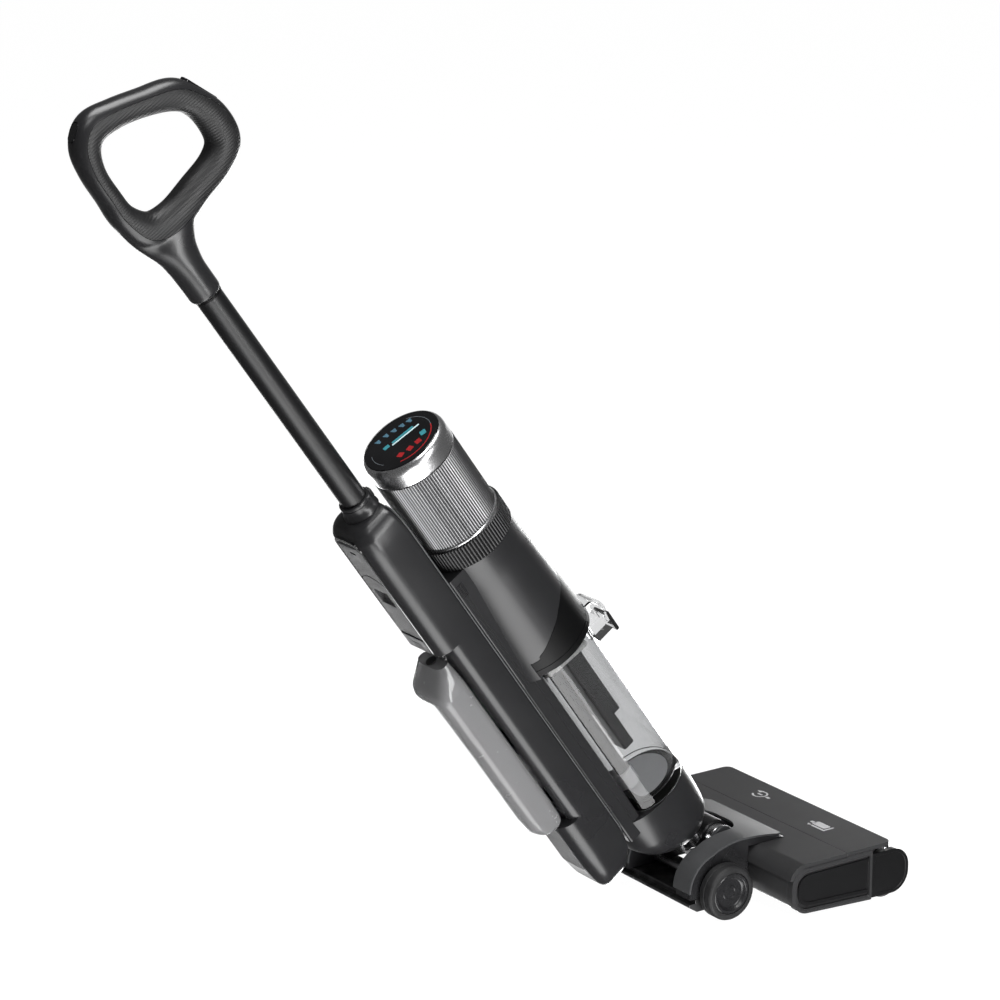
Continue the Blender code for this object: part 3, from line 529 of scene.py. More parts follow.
def glossy(name, colour, rough):
    """Hard gloss with wipe marks in its shine."""
    g = Graph(name)
    wipe = g.noise(70.0, 5.0, 0.65, (1.0, 0.3, 1.0))
    tone = g.noise(25.0, 2.0)
    return g.surface(g.blend_colour(g.remap(tone, 0.0, 1.0), colour, tinted(colour, 1.5, 0.002)),
                     g.remap(wipe, rough, rough + 0.06), g.bump(wipe, 0.2, 0.00002))


def fibrous(name, colour, length, scale, depth):
    """Pile, felt or filter fibre."""
    g = Graph(name)
    fibre = g.noise(scale, 5.0, 0.7, length)
    clump = g.noise(scale * 0.18, 3.0)
    return g.surface(g.blend_colour(g.remap(fibre, 0.0, 1.0), tinted(colour, 0.45),
                                    tinted(colour, 1.5, 0.01)), g.remap(clump, 0.8, 0.96),
                     g.bump(fibre, 1.0, depth), Sheen_Weight=0.5, Sheen_Roughness=0.4)


def lit(name, colour, strength):
    """Glowing display mark, dimmer in its speckled pixels."""
    g = Graph(name)
    cells = g.noise(900.0, 1.0)
    mixed = g.blend_colour(g.remap(cells, 0.0, 1.0), tinted(colour, 0.75), colour)
    g.link(mixed, g.shader.inputs["Emission Color"])
    return g.surface(mixed, g.remap(cells, 0.15, 0.25), None, Emission_Strength=strength)


LOOKS = {name: make(name, *values) for name, make, *values in (
    ("shell_dark", moulded, (0.013, 0.013, 0.014), 0.3),
    ("shell_black", moulded, (0.004, 0.004, 0.0045), 0.38),
    ("shell_grey", moulded, (0.04, 0.041, 0.043), 0.3),
    # lighter copy of the dark shell plastic for the whole head: painted light, standing in for the light that
    # falls on the head's top
    ("head_grey", moulded, (0.026, 0.026, 0.027), 0.34),
    ("satin_grey", moulded, (0.05, 0.051, 0.053), 0.44),
    ("light_plastic", moulded, (0.48, 0.48, 0.49), 0.32, 0.08),
    ("print_light", moulded, (0.5, 0.5, 0.51), 0.45, 0.1),
    ("deep", moulded, (0.002, 0.002, 0.0022), 0.42, 0.12, 0.18),
    ("panel_grey", speckled, (0.05, 0.05, 0.052), 0.5),
    ("gloss_black", glossy, (0.003, 0.003, 0.0035), 0.06),
    ("board_green", glossy, (0.02, 0.1, 0.05), 0.35),
    ("bezel_metal", metal, (0.82, 0.82, 0.83), 0.26, (1.0, 1.0, 1.0), 1500.0, 0.000001),
    ("silver", metal, (0.27, 0.27, 0.275), 0.33, (1.0, 1.0, 0.02), 500.0, 0.000001, True),
    ("steel", metal, (0.6, 0.6, 0.61), 0.28, (0.06, 1.0, 1.0), 900.0, 0.00002),
    ("clear", glass_like, (0.94, 0.945, 0.95), 0.02),
    ("cup", glass_like, (0.7, 0.705, 0.71), 0.01, 1.0, 1.22),
    ("smoke", glass_like, (0.29, 0.29, 0.295), 0.24, 0.5, 1.2),
    ("frosted", glass_like, (0.9, 0.91, 0.92), 0.22, 0.75),
    ("rubber", plain_rubber, (0.006, 0.006, 0.0065)),
    ("grip", knurled_rubber, (0.007, 0.007, 0.0075), 0.0027),
    ("plush", fibrous, (0.035, 0.035, 0.038), (0.35, 1.0, 1.0), 900.0, 0.0009),
    ("filter_white", fibrous, (0.62, 0.62, 0.6), (1.0, 1.0, 0.4), 700.0, 0.0005),
    ("mark_white", lit, (0.45, 0.6, 0.62), 0.8),
    ("mark_blue", lit, (0.06, 0.13, 0.18), 0.9),
    ("mark_teal", lit, (0.03, 0.17, 0.2), 0.8),
    ("mark_red", lit, (0.22, 0.01, 0.012), 0.8),
    ("mark_grey", lit, (0.09, 0.1, 0.11), 0.5),
)}


# ---------------------------------------------------------------- handle
GRIP_KNOTS = [
    # y, z, half thickness, where the soft liner ends across it
    (0.089, 0.919, 0.0165, 0.46), (0.1015, 0.944, 0.0125, 0.3), (0.1022, 0.97, 0.0108, 0.28),
    (0.101, 0.996, 0.0112, 0.28), (0.0935, 1.018, 0.014, 0.3), (0.078, 1.0285, 0.0155, 0.33),
    (0.054, 1.024, 0.0135, 0.35), (0.028, 1.014, 0.013, 0.38), (0.001, 1.0003, 0.0148, 0.42),
    (-0.012, 0.982, 0.0135, 0.55), (-0.0185, 0.958, 0.0155, 0.68), (-0.0147, 0.934, 0.0163, 0.72),
    (0.004, 0.9225, 0.015, 0.6), (0.033, 0.9175, 0.015, 0.5), (0.064, 0.9125, 0.0165, 0.48),
]
KEYS = [
    # button, place (y, z), facing in degrees, half length, half width, height above the loop
    ("power", (0.0933, 1.036), 58.0, 0.009, 0.006, 0.001),
    ("mode", (-0.0245, 0.9865), 158.0, 0.02, 0.005, 0.0004),
]
KEY_GAP = 0.0005
POCKET_DEPTH = -0.0066


def grip_rings(shape_at):
    """Rings round the loop; shape_at gives (x, reach) pairs for a half thickness and a liner edge."""
    path = curve_through(GRIP_KNOTS, 10, closed=True)
    rings = []
    for i, (y, z, half, edge) in enumerate(path):
        ahead = Vector(path[(i + 1) % len(path)][:2])
        run = ahead - Vector(path[i - 1][:2])
        out = Vector((run.y, -run.x)).normalized()
        rings.append([(x, y + out.x * reach, z + out.y * reach) for x, reach in shape_at(half, edge)])
    return rings


def grip_oval(half, _edge):
    """Cross-section of the whole grip, a little squarer than an ellipse."""
    points = []
    for a in turns(48):
        s = math.sin(a)
        points.append((GRIP_DEPTH * math.copysign(abs(s) ** 0.8, s), half * math.cos(a)))
    return points


def liner_plug(shift):
    """Slab wider than the grip that fills the loop out to the liner's edge."""
    rings = grip_rings(lambda half, edge: [(0.0, half * edge + shift)])
    return along_x([(ring[0][1], ring[0][2]) for ring in rings], -0.03, 0.03)


def button_slab(spot, facing, half_long, half_wide, out, inward):
    """Rounded slab on the loop's outer side, facing an angle in the side view."""
    outline = box_outline(-half_wide, half_wide, -half_long, half_long, half_wide * 0.85, 10)
    bm = along_y(outline, inward, out)
    bmesh.ops.rotate(bm, verts=bm.verts, cent=(0.0, 0.0, 0.0),
                     matrix=Matrix.Rotation(math.radians(facing), 3, "X"))
    bmesh.ops.translate(bm, verts=bm.verts, vec=(0.0, spot[0], spot[1]))
    return bm


def remeshed(item, voxel, passes):
    """Blend a union's creases by remeshing it evenly and smoothing it."""
    step = item.modifiers.new("even", "REMESH")
    step.mode = "VOXEL"
    step.voxel_size = voxel
    step.use_smooth_shade = True
    relax = item.modifiers.new("relax", "SMOOTH")
    relax.factor = 0.5
    relax.iterations = passes
    return bake_modifiers(item)


def grip_and_neck():
    """Whole loop with its flared neck as one smooth body."""
    item = solid(bridge(grip_rings(grip_oval), closed=True))
    rows = [(HANDLE_LOW, 0.0153, 0.065, 0.0966, 2.0), (0.86, 0.0155, 0.0648, 0.097, 2.0),
            (0.88, 0.0153, 0.0612, 0.0988, 2.1), (0.89, 0.015, 0.0562, 0.1012, 2.1),
            (0.897, 0.0143, 0.05, 0.1036, 2.1), (0.903, 0.0135, 0.042, 0.1058, 2.0),
            (0.91, 0.0125, 0.038, 0.1082, 2.0), (0.918, 0.0115, 0.048, 0.1104, 2.0),
            (0.926, 0.0105, 0.076, 0.1119, 2.0), (0.935, 0.0095, 0.093, 0.1129, 2.0)]
    neck = bridge([section(half, front, back, z, power)
                   for z, half, front, back, power in through_heights(rows, 0, 4)])
    return remeshed(cut(item, neck, "UNION"), 0.0011, 26)


def copy_of(item):
    twin = item.copy()
    twin.data = item.data.copy()
    bpy.context.scene.collection.objects.link(twin)
    return twin


def handle():
    whole = grip_and_neck()
    liner = copy_of(whole)
    shell = cut(whole, liner_plug(0.0002))
    cut(shell, rod(TUBE_R + 0.0003, (0.0, TUBE_Y, 0.0), 0.8, 0.87, "Z", FINE))
    for half in (shell, liner):
        for _, spot, facing, long, wide, _ in KEYS:
            cut(half, button_slab(spot, facing, long + KEY_GAP, wide + KEY_GAP, 0.03, POCKET_DEPTH))
    settle(shell, "grip_shell", "handle", "shell_dark", ["handle_shell"], 50.0)
    cut(liner, liner_plug(-0.0002), "INTERSECT")
    settle(liner, "grip_soft", "handle", "rubber", ["grip_liner"], 50.0, look="grip")
    for word, spot, facing, long, wide, out in KEYS:
        key = solid(button_slab(spot, facing, long, wide, out, -0.0036))
        soften(key, 0.0007, 4, 50.0)
        settle(key, f"{word}_key", f"{word}_button", "gloss_black", [f"{word}_button"])


def handle_tube():
    centre = (0.0, TUBE_Y, 0.0)
    tube = hoop([(0.0119, 0.507), (TUBE_R, 0.507), (TUBE_R, 0.868), (0.0119, 0.868)], centre, "Z", FINE)
    settle(solid(tube), "tube", "handle", "shell_black", ["handle_tube"])
    band = hoop([(TUBE_R, HANDLE_LOW - 0.003), (TUBE_R + 0.0005, HANDLE_LOW - 0.0026),
                 (TUBE_R + 0.0005, HANDLE_LOW - 0.0006), (TUBE_R, HANDLE_LOW - 0.0002)], centre, "Z", FINE)
    settle(solid(band), "tube_band", "handle", "shell_black", look="deep")


def collar():
    centre = (0.0, TUBE_Y, 0.0)
    inner = TUBE_R + 0.0003
    profile = [(inner, COLLAR_LOW), (0.0186, COLLAR_LOW), (0.0184, COLLAR_LOW + 0.0016),
               (0.0177, COLLAR_LOW + 0.0034), (0.0169, COLLAR_LOW + 0.0056), (0.0164, COLLAR_LOW + 0.0076),
               (0.0163, COLLAR_TOP - 0.004), (0.0157, COLLAR_TOP - 0.0038), (0.0157, COLLAR_TOP - 0.0034),
               (0.0162, COLLAR_TOP - 0.0032), (0.0161, COLLAR_TOP - 0.0008), (0.0156, COLLAR_TOP),
               (inner, COLLAR_TOP)]
    item = solid(hoop(profile, centre, "Z", FINE))
    cut(item, block(-0.0046, 0.0046, 0.058, 0.0665, 0.5594, 0.57))
    settle(soften(item, 0.0002, 2, 40.0), "collar", "body", "shell_dark", ["tube_collar"])
    key = solid(along_y(box_outline(-0.0042, 0.0042, 0.5598, 0.5696, 0.002, 8), 0.062, 0.0645))
    soften(key, 0.0006, 4, 50.0)
    settle(key, "collar_key", "collar_button", "shell_black", ["collar_button"])


# ---------------------------------------------------------------- spine
SPINE_LOW = [
    # z, half width, front y, back y, back radius, front radius
    (0.044, 0.015, 0.088, 0.105, 0.006, 0.006), (0.048, 0.024, 0.0815, 0.109, 0.01, 0.007),
    (0.057, 0.031, 0.0735, 0.112, 0.014, 0.006), (0.072, 0.0345, 0.0665, 0.114, 0.017, 0.0045),
    (0.095, 0.0355, 0.0635, 0.115, 0.018, 0.003), (0.144, 0.0355, 0.0635, 0.1148, 0.018, 0.0025),
]
SPINE_HIGH = [
    (0.3945, 0.0355, 0.0635, 0.1118, 0.016, 0.0025), (0.515, 0.0355, 0.0635, 0.1118, 0.016, 0.0025),
    (0.528, 0.0352, 0.0636, 0.1118, 0.016, 0.0027), (0.542, 0.0335, 0.064, 0.1112, 0.015, 0.004),
    (0.55, 0.03, 0.0644, 0.108, 0.0135, 0.006), (0.5545, 0.0255, 0.065, 0.1035, 0.0115, 0.008),
    (0.5562, 0.0215, 0.0655, 0.0975, 0.01, 0.009),
]


def spine_ring(row):
    """Rounded section whose sides swell a little between their front and back edges."""
    z, half, front, back, radius_back, radius_front = row
    outline = rounded([(-half, front), (half, front), (half, back), (-half, back)],
                      [radius_front, radius_front, radius_back, radius_back], 10)
    mid = (front + back) / 2.0
    reach = (back - front) / 2.0
    points = []
    for x, y in spread_evenly(outline, 30):
        t = (y - mid) / reach
        squeeze = 0.05 * t * t if t < 0.0 else 0.012 * t * t
        points.append((x * (1.0 - squeeze), y, z))
    return points


def spread_evenly(outline, per_quarter):
    """The same number of points for any section: fixed steps round each quarter."""
    closed = [Vector(p) for p in outline] + [Vector(outline[0])]
    lengths = [0.0]
    for before, after in zip(closed, closed[1:]):
        lengths.append(lengths[-1] + (after - before).length)
    total = lengths[-1]
    count = per_quarter * 4
    out = []
    at = 0
    for k in range(count):
        want = total * k / count
        while lengths[at + 1] < want:
            at += 1
        length = max(1e-12, lengths[at + 1] - lengths[at])
        out.append(tuple(closed[at].lerp(closed[at + 1], (want - lengths[at]) / length)))
    return out


def spine():
    low = through_heights(SPINE_LOW, 0, 8)
    high = through_heights(SPINE_HIGH, 0, 8)
    recess = [(0.1446, 0.0355, 0.0635, 0.101, 0.012, 0.0025),
              (0.3938, 0.0355, 0.0635, 0.101, 0.012, 0.0025)]
    rings = [spine_ring(row) for row in low + recess + high]
    item = solid(bridge(rings))
    cut(item, rod(TUBE_R + 0.0003, (0.0, TUBE_Y, 0.0), 0.505, 0.6, "Z", FINE))
    steps = [(0.0672, 0.3924), (0.13, 0.3924), (0.13, 0.5424), (0.096, 0.5424), (0.096, 0.4984),
             (0.0672, 0.4984)]
    cut(item, along_x(steps, -0.0194, 0.0194))
    cut(item, block(-0.023, 0.023, 0.074, 0.12, 0.17, 0.24))
    cut(item, block(-0.023, 0.023, 0.088, 0.12, 0.252, 0.338))
    for side in (-1.0, 1.0):
        cut(item, block(*span(side, 0.0349, 0.037), 0.069, 0.078, 0.5308, 0.5313))
    settle(item, "spine", "body", "shell_dark", ["spine_shell"], 30.0)
    # the pale beads are a painted highlight along the spine's front edges
    spine_highlight_beads()
    spine_back()


def swept(path, radius, count):
    """Round bead along a line of points."""
    rings = []
    for i, point in enumerate(path):
        here = Vector(point)
        run = heading(path, i).normalized()
        side = run.cross(Vector((0.3, 0.9, 0.2))).normalized()
        up = run.cross(side)
        rings.append([tuple(here + side * radius * math.cos(a) + up * radius * math.sin(a))
                      for a in turns(count)])
    return bridge(rings)


def spine_highlight_beads():
    """Pale bead down each front edge of the spine, bent in over the shoulder: a painted highlight, a lighter grey
    strip standing in for the light caught on that edge.
    """
    knots = [(0.032, 0.065, 0.088), (0.0336, 0.0638, 0.1), (0.0337, 0.0638, 0.51), (0.0336, 0.0638, 0.522),
             (0.0326, 0.064, 0.534), (0.0306, 0.0644, 0.544), (0.0272, 0.065, 0.552), (0.023, 0.066, 0.556)]
    for side, word in SIDES:
        path = through_heights([(side * x, y, z) for x, y, z in knots], 2, 8)
        item = solid(swept(path, 0.0008, 12))
        settle(item, f"spine_highlight_bead_{word}", "body", "shell_grey")


def spine_back():
    """Gloss frame round the battery panel and the flat panel on the boot's back."""
    outer = rounded([(-0.0225, 0.395), (0.0225, 0.395), (0.0225, 0.5465), (-0.0225, 0.5465)],
                    [0.001, 0.001, 0.012, 0.012], 10)
    inner = rounded([(-0.0196, 0.39), (0.0196, 0.39), (0.0196, 0.5426), (-0.0196, 0.5426)],
                    [0.001, 0.001, 0.01, 0.01], 10)
    item = solid(along_y(outer, 0.1088, 0.1121))
    cut(item, along_y(inner, 0.1, 0.12))
    settle(soften(item, 0.0003, 2, 50.0), "battery_frame", "body", "gloss_black")
    panel = box_outline(-0.019, 0.019, 0.078, 0.14, 0.005, 8)
    item = solid(along_y(panel, 0.1142, 0.1153))
    settle(soften(item, 0.0004, 3, 50.0), "boot_panel", "body", "panel_grey")


def battery():
    steps = rounded([(0.0676, 0.3928), (0.1098, 0.413), (0.112, 0.416), (0.112, 0.538), (0.108, 0.542),
                     (0.0964, 0.542), (0.0964, 0.498), (0.0676, 0.498)],
                    [0.001, 0.001, 0.001, 0.004, 0.002, 0.001, 0.0, 0.001], 6)
    item = solid(along_x(steps, -0.019, 0.019))
    cut(item, rod(0.01, (0.0, 0.116, 0.468), -0.012, 0.012, "X", 64))
    cut(item, along_y(box_outline(-0.0045, 0.0045, 0.5275, 0.53, 0.0012, 6), 0.109, 0.12))
    groove = plate_line(curve_through([(-0.0195, 0.4905), (-0.01, 0.4955), (0.0, 0.4972), (0.01, 0.4955),
                                       (0.0195, 0.4905)], 8), -0.0006, 0.0006)
    cut(item, along_y(groove, 0.1113, 0.12))
    settle(soften(item, 0.0005, 3, 40.0), "battery", "battery", "panel_grey", ["battery_pack"])
    latch = rounded([(0.099, 0.394), (0.112, 0.394), (0.1128, 0.4148), (0.1098, 0.4126), (0.099, 0.4074)],
                    [0.001, 0.0015, 0.0006, 0.0, 0.0006], 6)
    item = solid(along_x(latch, -0.0186, 0.0186))
    for row in range(3):
        z = 0.399 + 0.003 * row
        cut(item, along_y(box_outline(-0.008, 0.008, z, z + 0.0012, 0.0005, 4), 0.1112, 0.12))
    settle(soften(item, 0.0004, 2, 40.0), "latch", "battery_latch", "panel_grey", ["battery_latch"])


CLEAN_TANK_OUTSIDE = [
    # half width, front y, back y, z, squareness
    (0.024, 0.104, 0.125, 0.146, 3.0), (0.0285, 0.102, 0.133, 0.152, 3.4),
    (0.0305, 0.1018, 0.1376, 0.164, 3.8), (0.0312, 0.1016, 0.1388, 0.185, 4.0),
    (0.0312, 0.1016, 0.1388, 0.26, 4.0), (0.0312, 0.1016, 0.1388, 0.348, 4.0),
    (0.03, 0.1016, 0.137, 0.356, 3.8), (0.026, 0.1018, 0.127, 0.368, 3.4),
    (0.0215, 0.1022, 0.118, 0.378, 3.0),
]
CLEAN_TANK_INSIDE = [
    (0.0245, 0.1044, 0.131, 0.156, 3.0), (0.0292, 0.1036, 0.1368, 0.185, 4.0),
    (0.0292, 0.1036, 0.1368, 0.26, 4.0), (0.0292, 0.1036, 0.1368, 0.347, 4.0),
    (0.02, 0.1046, 0.121, 0.366, 3.0),
]


def clean_tank():
    def skin(rows):
        return bridge([section(half, front, back, z, power, 96)
                       for half, front, back, z, power in through_heights(rows, 3, 8)])

    item = solid(skin(CLEAN_TANK_OUTSIDE))
    cut(item, skin(CLEAN_TANK_INSIDE))
    cut(item, rod(0.0047, (0.0, 0.1115, 0.0), 0.36, 0.39, "Z", 48))
    settle(item, "water_tank", "clean_tank", "smoke", ["clean_tank"])
    plug = [(0.0, 0.364), (0.0044, 0.364), (0.0044, 0.3783), (0.0052, 0.3783), (0.0056, 0.3787),
            (0.0056, 0.3796), (0.0052, 0.38), (0.0, 0.38)]
    settle(solid(turned(plug, (0.0, 0.1115, 0.0), "Z", 48)), "water_plug", "clean_plug", "rubber",
           ["clean_tank_plug"])
    tab = solid(along_y(box_outline(-0.018, 0.018, 0.3783, 0.3925, 0.0025, 8), 0.1024, 0.105))
    settle(soften(tab, 0.0005, 3, 50.0), "water_tab", "clean_tank", "clear", ["clean_tank_tab"])


# ---------------------------------------------------------------- motor housing and crown
SEAM = [
    (-0.07, 0.32), (-0.039, 0.3206), (-0.035, 0.324), (-0.027, 0.3285), (-0.015, 0.336),
    (-0.002, 0.3436), (0.01, 0.3505), (0.023, 0.3558), (0.031, 0.3575), (0.038, 0.363),
    (0.07, 0.364),
]


def seam_line(shift):
    """Sloping S between the motor housing and the tank's lid, as (y, z), from front to back."""
    knots = [(-y, z + shift) for y, z in SEAM]
    return curve_through(knots[::-1], 6)


def housing_radius(z):
    return 0.0465 + max(0.0, 0.43 - z) * 0.064


def barrel(heights):
    rings = []
    for z in heights:
        radius = housing_radius(z)
        rings.append([(radius * math.cos(a), CYL_Y + radius * math.sin(a), z) for a in turns(VERY_FINE)])
    return bridge(rings)


def motor_housing():
    item = solid(barrel(steps_between(0.3, 0.43, 12) + [RING_LOW - 0.0003]))
    web = box_outline(-0.033, 0.033, 0.03, SPINE_FRONT - 0.0006, 0.003, 6)
    cut(item, along_z(web, 0.3004, RING_LOW - 0.0003), "UNION")
    under = [point for point in seam_line(0.0) if point[0] < 0.045]
    under += [(0.045, under[-1][1]), (0.045, 0.2), (-0.07, 0.2)]
    cut(item, along_x(under, -0.07, 0.07))
    cut(item, block(-0.1, 0.1, SPINE_FRONT - 0.0005, 0.1, 0.2, 0.5))
    cut(item, rod(0.041, (0.0, CYL_Y, 0.0), 0.372, 0.5, "Z", FINE))
    for side in (-1.0, 1.0):
        for y in (0.0545, 0.0575):
            cut(item, block(*span(side, 0.0322, 0.04), y, y + 0.0006, 0.2, 0.44))
        for k in range(8):
            z = 0.4255 + 0.0021 * k
            cut(item, block(*span(side, 0.0322, 0.04), 0.0515, 0.06, z, z + 0.0007))
    settle(soften(item, 0.0004, 2, 40.0), "housing", "body", "shell_dark", ["motor_housing"], 30.0)


def tank_lid():
    item = solid(barrel(steps_between(0.3033, 0.37, 8)))
    cut(item, along_x(seam_line(-0.0005) + [(0.07, 0.5), (-0.07, 0.5)], -0.07, 0.07))
    cut(item, block(-0.08, 0.08, 0.0446, 0.08, 0.29, 0.4))
    groove = hoop([(0.0535, 0.3098), (0.06, 0.3098), (0.06, 0.3104), (0.0535, 0.3104)], (0.0, CYL_Y, 0.0),
                  "Z", VERY_FINE)
    cut(item, groove)
    settle(soften(item, 0.0004, 2, 40.0), "lid", "dirty_tank", "shell_black", ["tank_lid"], 30.0,
           look="deep")


def ribbed_ring(low, high, valley, crest, ribs, rounding=0.5, chamfer=0.0006):
    """Ring whose outside carries fine upright ribs."""
    rings = []
    per_rib = 6
    count = ribs * per_rib
    heights = [(low, -chamfer), (low + chamfer, 0.0), (high - chamfer, 0.0), (high, -chamfer)]
    for z, shrink in heights:
        points = []
        for k in range(count):
            phase = k % per_rib / per_rib
            swell = abs(math.sin(math.pi * phase)) ** rounding
            radius = valley + (crest - valley) * swell + shrink
            a = 2.0 * math.pi * k / count
            points.append((radius * math.cos(a), CYL_Y + radius * math.sin(a), z))
        rings.append(points)
    return bridge(rings)


def crown():
    centre = (0.0, CYL_Y, 0.0)
    ring = solid(ribbed_ring(RING_LOW, RING_TOP, 0.0464, 0.0476, 84))
    cut(ring, rod(0.04, centre, 0.4, 0.5, "Z", FINE))
    settle(ring, "rib_ring", "body", "shell_black", ["knurled_ring"], 60.0)
    sleeve = solid(ribbed_ring(RING_TOP + 0.0003, RIB_TOP, 0.0431, 0.044, 96, 0.8, 0.0003))
    cut(sleeve, rod(0.0412, centre, 0.4, 0.6, "Z", FINE))
    settle(sleeve, "sleeve", "body", "silver", ["fluted_sleeve"], 60.0)
    cuff = hoop([(0.0434, RING_TOP), (0.0452, RING_TOP), (0.0452, RING_TOP + 0.0016),
                 (0.0446, RING_TOP + 0.0024), (0.0434, RING_TOP + 0.0024)], centre, "Z", VERY_FINE)
    settle(solid(cuff), "sleeve_cuff", "body", "bezel_metal")
    low = RIB_TOP + 0.0003
    profile = [(0.0365, low), (0.0428, low), (0.0436, low + 0.0008), (0.0438, low + 0.0024),
               (0.0438, 0.5716), (0.0437, 0.5734), (0.0433, 0.5752), (0.0427, 0.5768), (0.0418, 0.5781),
               (0.041, 0.5789), (0.0404, DISPLAY - 0.0002), (0.0398, DISPLAY - 0.0004),
               (0.0396, DISPLAY - 0.001), (0.0396, 0.57), (0.0365, 0.57)]
    settle(solid(hoop(profile, centre, "Z", VERY_FINE)), "bezel", "body", "bezel_metal", ["bezel_ring"],
           30.0)
    glass = [(0.0, 0.5745), (0.0391, 0.5745), (0.0391, DISPLAY - 0.0006), (0.0385, DISPLAY - 0.0001),
             (0.0, DISPLAY)]
    settle(solid(turned(glass, centre, "Z", VERY_FINE)), "display", "body", "gloss_black",
           ["display_glass"])
    display_marks()


def dial_bar(radius_low, radius_high, start, end, steps=24):
    """Ring segment in the display's own plane, angles from the machine's left towards its back."""
    inner = arc(0.0, CYL_Y, radius_low, start, end, steps)
    outer = arc(0.0, CYL_Y, radius_high, end, start, steps)
    return inner + outer


def tilted_slab(x, y, half_x, half_y, turn, radius):
    return placed(box_outline(-half_x, half_x, -half_y, half_y, radius, 4), x, CYL_Y + y, turn)


def small_picture(x, y):
    """A generic little picture of three strokes."""
    return [tilted_slab(x + 0.0022, y, 0.0006, 0.0026, -12.0, 0.0002),
            tilted_slab(x, y, 0.0009, 0.002, -12.0, 0.0003),
            tilted_slab(x - 0.0024, y, 0.0007, 0.0014, -12.0, 0.0002)]


def display_marks():
    """Generic meters and pictures that glow on the display."""
    low = DISPLAY - 0.00015
    high = DISPLAY + 0.00012
    groups = {"mark_grey": [dial_bar(0.0318, 0.0324, 243.0, 312.0, 40),
                            dial_bar(0.0318, 0.0323, 60.0, 105.0, 24)],
              "mark_red": [dial_bar(0.0314, 0.0326, 140.0, 243.0, 60),
                           tilted_slab(-0.0165, 0.014, 0.0034, 0.003, 18.0, 0.0008),
                           tilted_slab(-0.0198, 0.004, 0.0034, 0.003, 6.0, 0.0008),
                           tilted_slab(-0.0212, -0.0062, 0.0034, 0.003, -8.0, 0.0008)],
              "mark_teal": [tilted_slab(0.0058, -0.0065, 0.0016, 0.0125, -11.0, 0.0007),
                            tilted_slab(-0.016, -0.0168, 0.0036, 0.003, -20.0, 0.0008),
                            tilted_slab(0.0098, 0.0125, 0.0026, 0.0032, -10.0, 0.0007)],
              "mark_white": [tilted_slab(0.0022, -0.0078, 0.0009, 0.016, -11.0, 0.0004)],
              "mark_blue": [shape
                            for x, y in ((0.0262, 0.0105), (0.0245, 0.001), (0.0212, -0.0073),
                                         (0.0178, -0.0155), (0.015, -0.0232))
                            for shape in small_picture(x, y)]}
    for name, outlines in groups.items():
        item = solid(merged([along_z(outline, low, high) for outline in outlines]))
        settle(item, f"display_{name}", "body", "light_plastic", look=name)


# ---------------------------------------------------------------- recovery tank
def tank_plan(grow, z):
    """Round front and flat back with soft corners, drawn as one ring."""
    points = []
    soft = 0.004
    limit = TANK_FLAT + grow
    for a in turns(128):
        y = (TANK_R + grow) * math.sin(a)
        if y > limit - soft:
            over = y - (limit - soft)
            y = limit - soft + soft * (1.0 - math.exp(-over / soft))
        points.append(((TANK_R + grow) * math.cos(a), TANK_Y + y, z))
    return points


def dirty_tank():
    rings = [tank_plan(-0.005, TANK_BOTTOM), tank_plan(-0.0026, TANK_BOTTOM + 0.0003),
             tank_plan(-0.0011, TANK_BOTTOM + 0.0012), tank_plan(-0.0003, TANK_BOTTOM + 0.0028),
             tank_plan(0.0, TANK_BOTTOM + 0.005), tank_plan(-0.0004, TANK_BOTTOM + 0.0125)]
    rings += [tank_plan(-0.0008, z) for z in steps_between(TANK_BOTTOM + 0.018, 0.29, 10)]
    rings += [tank_plan(0.0, 0.296), tank_plan(0.0, TANK_TOP)]
    item = solid(bridge(rings))
    inside = [tank_plan(-0.014, TANK_BOTTOM + 0.007), tank_plan(-0.008, TANK_BOTTOM + 0.0078),
              tank_plan(-0.005, TANK_BOTTOM + 0.01), tank_plan(-0.0036, TANK_BOTTOM + 0.014),
              tank_plan(-0.003, TANK_BOTTOM + 0.02)]
    inside += [tank_plan(-0.003, z) for z in steps_between(0.12, 0.29, 8)] + [tank_plan(-0.003, 0.31)]
    lug = rounded([(-0.059, 0.256), (-0.037, 0.256), (-0.037, 0.2765), (-0.059, 0.2765)],
                  [0.002, 0.0, 0.0, 0.003], 8)
    cut(item, along_x(lug, -0.0085, 0.0085), "UNION")
    line = curve_through([(-0.0584, 0.268), (-0.0592, 0.2762), (-0.0614, 0.28), (-0.0622, 0.286),
                          (-0.06, 0.295), (-0.0548, 0.3008), (-0.048, 0.3026), (-0.038, 0.302)], 6)
    hood = line + shifted(line, -0.0022)[::-1]
    cut(item, along_x(hood, -0.012, 0.012), "UNION")
    cut(item, bridge(inside))
    settle(soften(item, 0.0005, 3, 45.0), "cup", "dirty_tank", "clear", ["dirty_tank"], 30.0, look="cup")
    rim = [tank_plan(0.0003, 0.299), tank_plan(0.0003, TANK_TOP)]
    band = solid(bridge(rim))
    cut(band, bridge([tank_plan(-0.0034, 0.29), tank_plan(-0.0034, 0.31)]))
    settle(soften(band, 0.0003, 2, 45.0), "cup_rim", "dirty_tank", "clear", look="frosted")


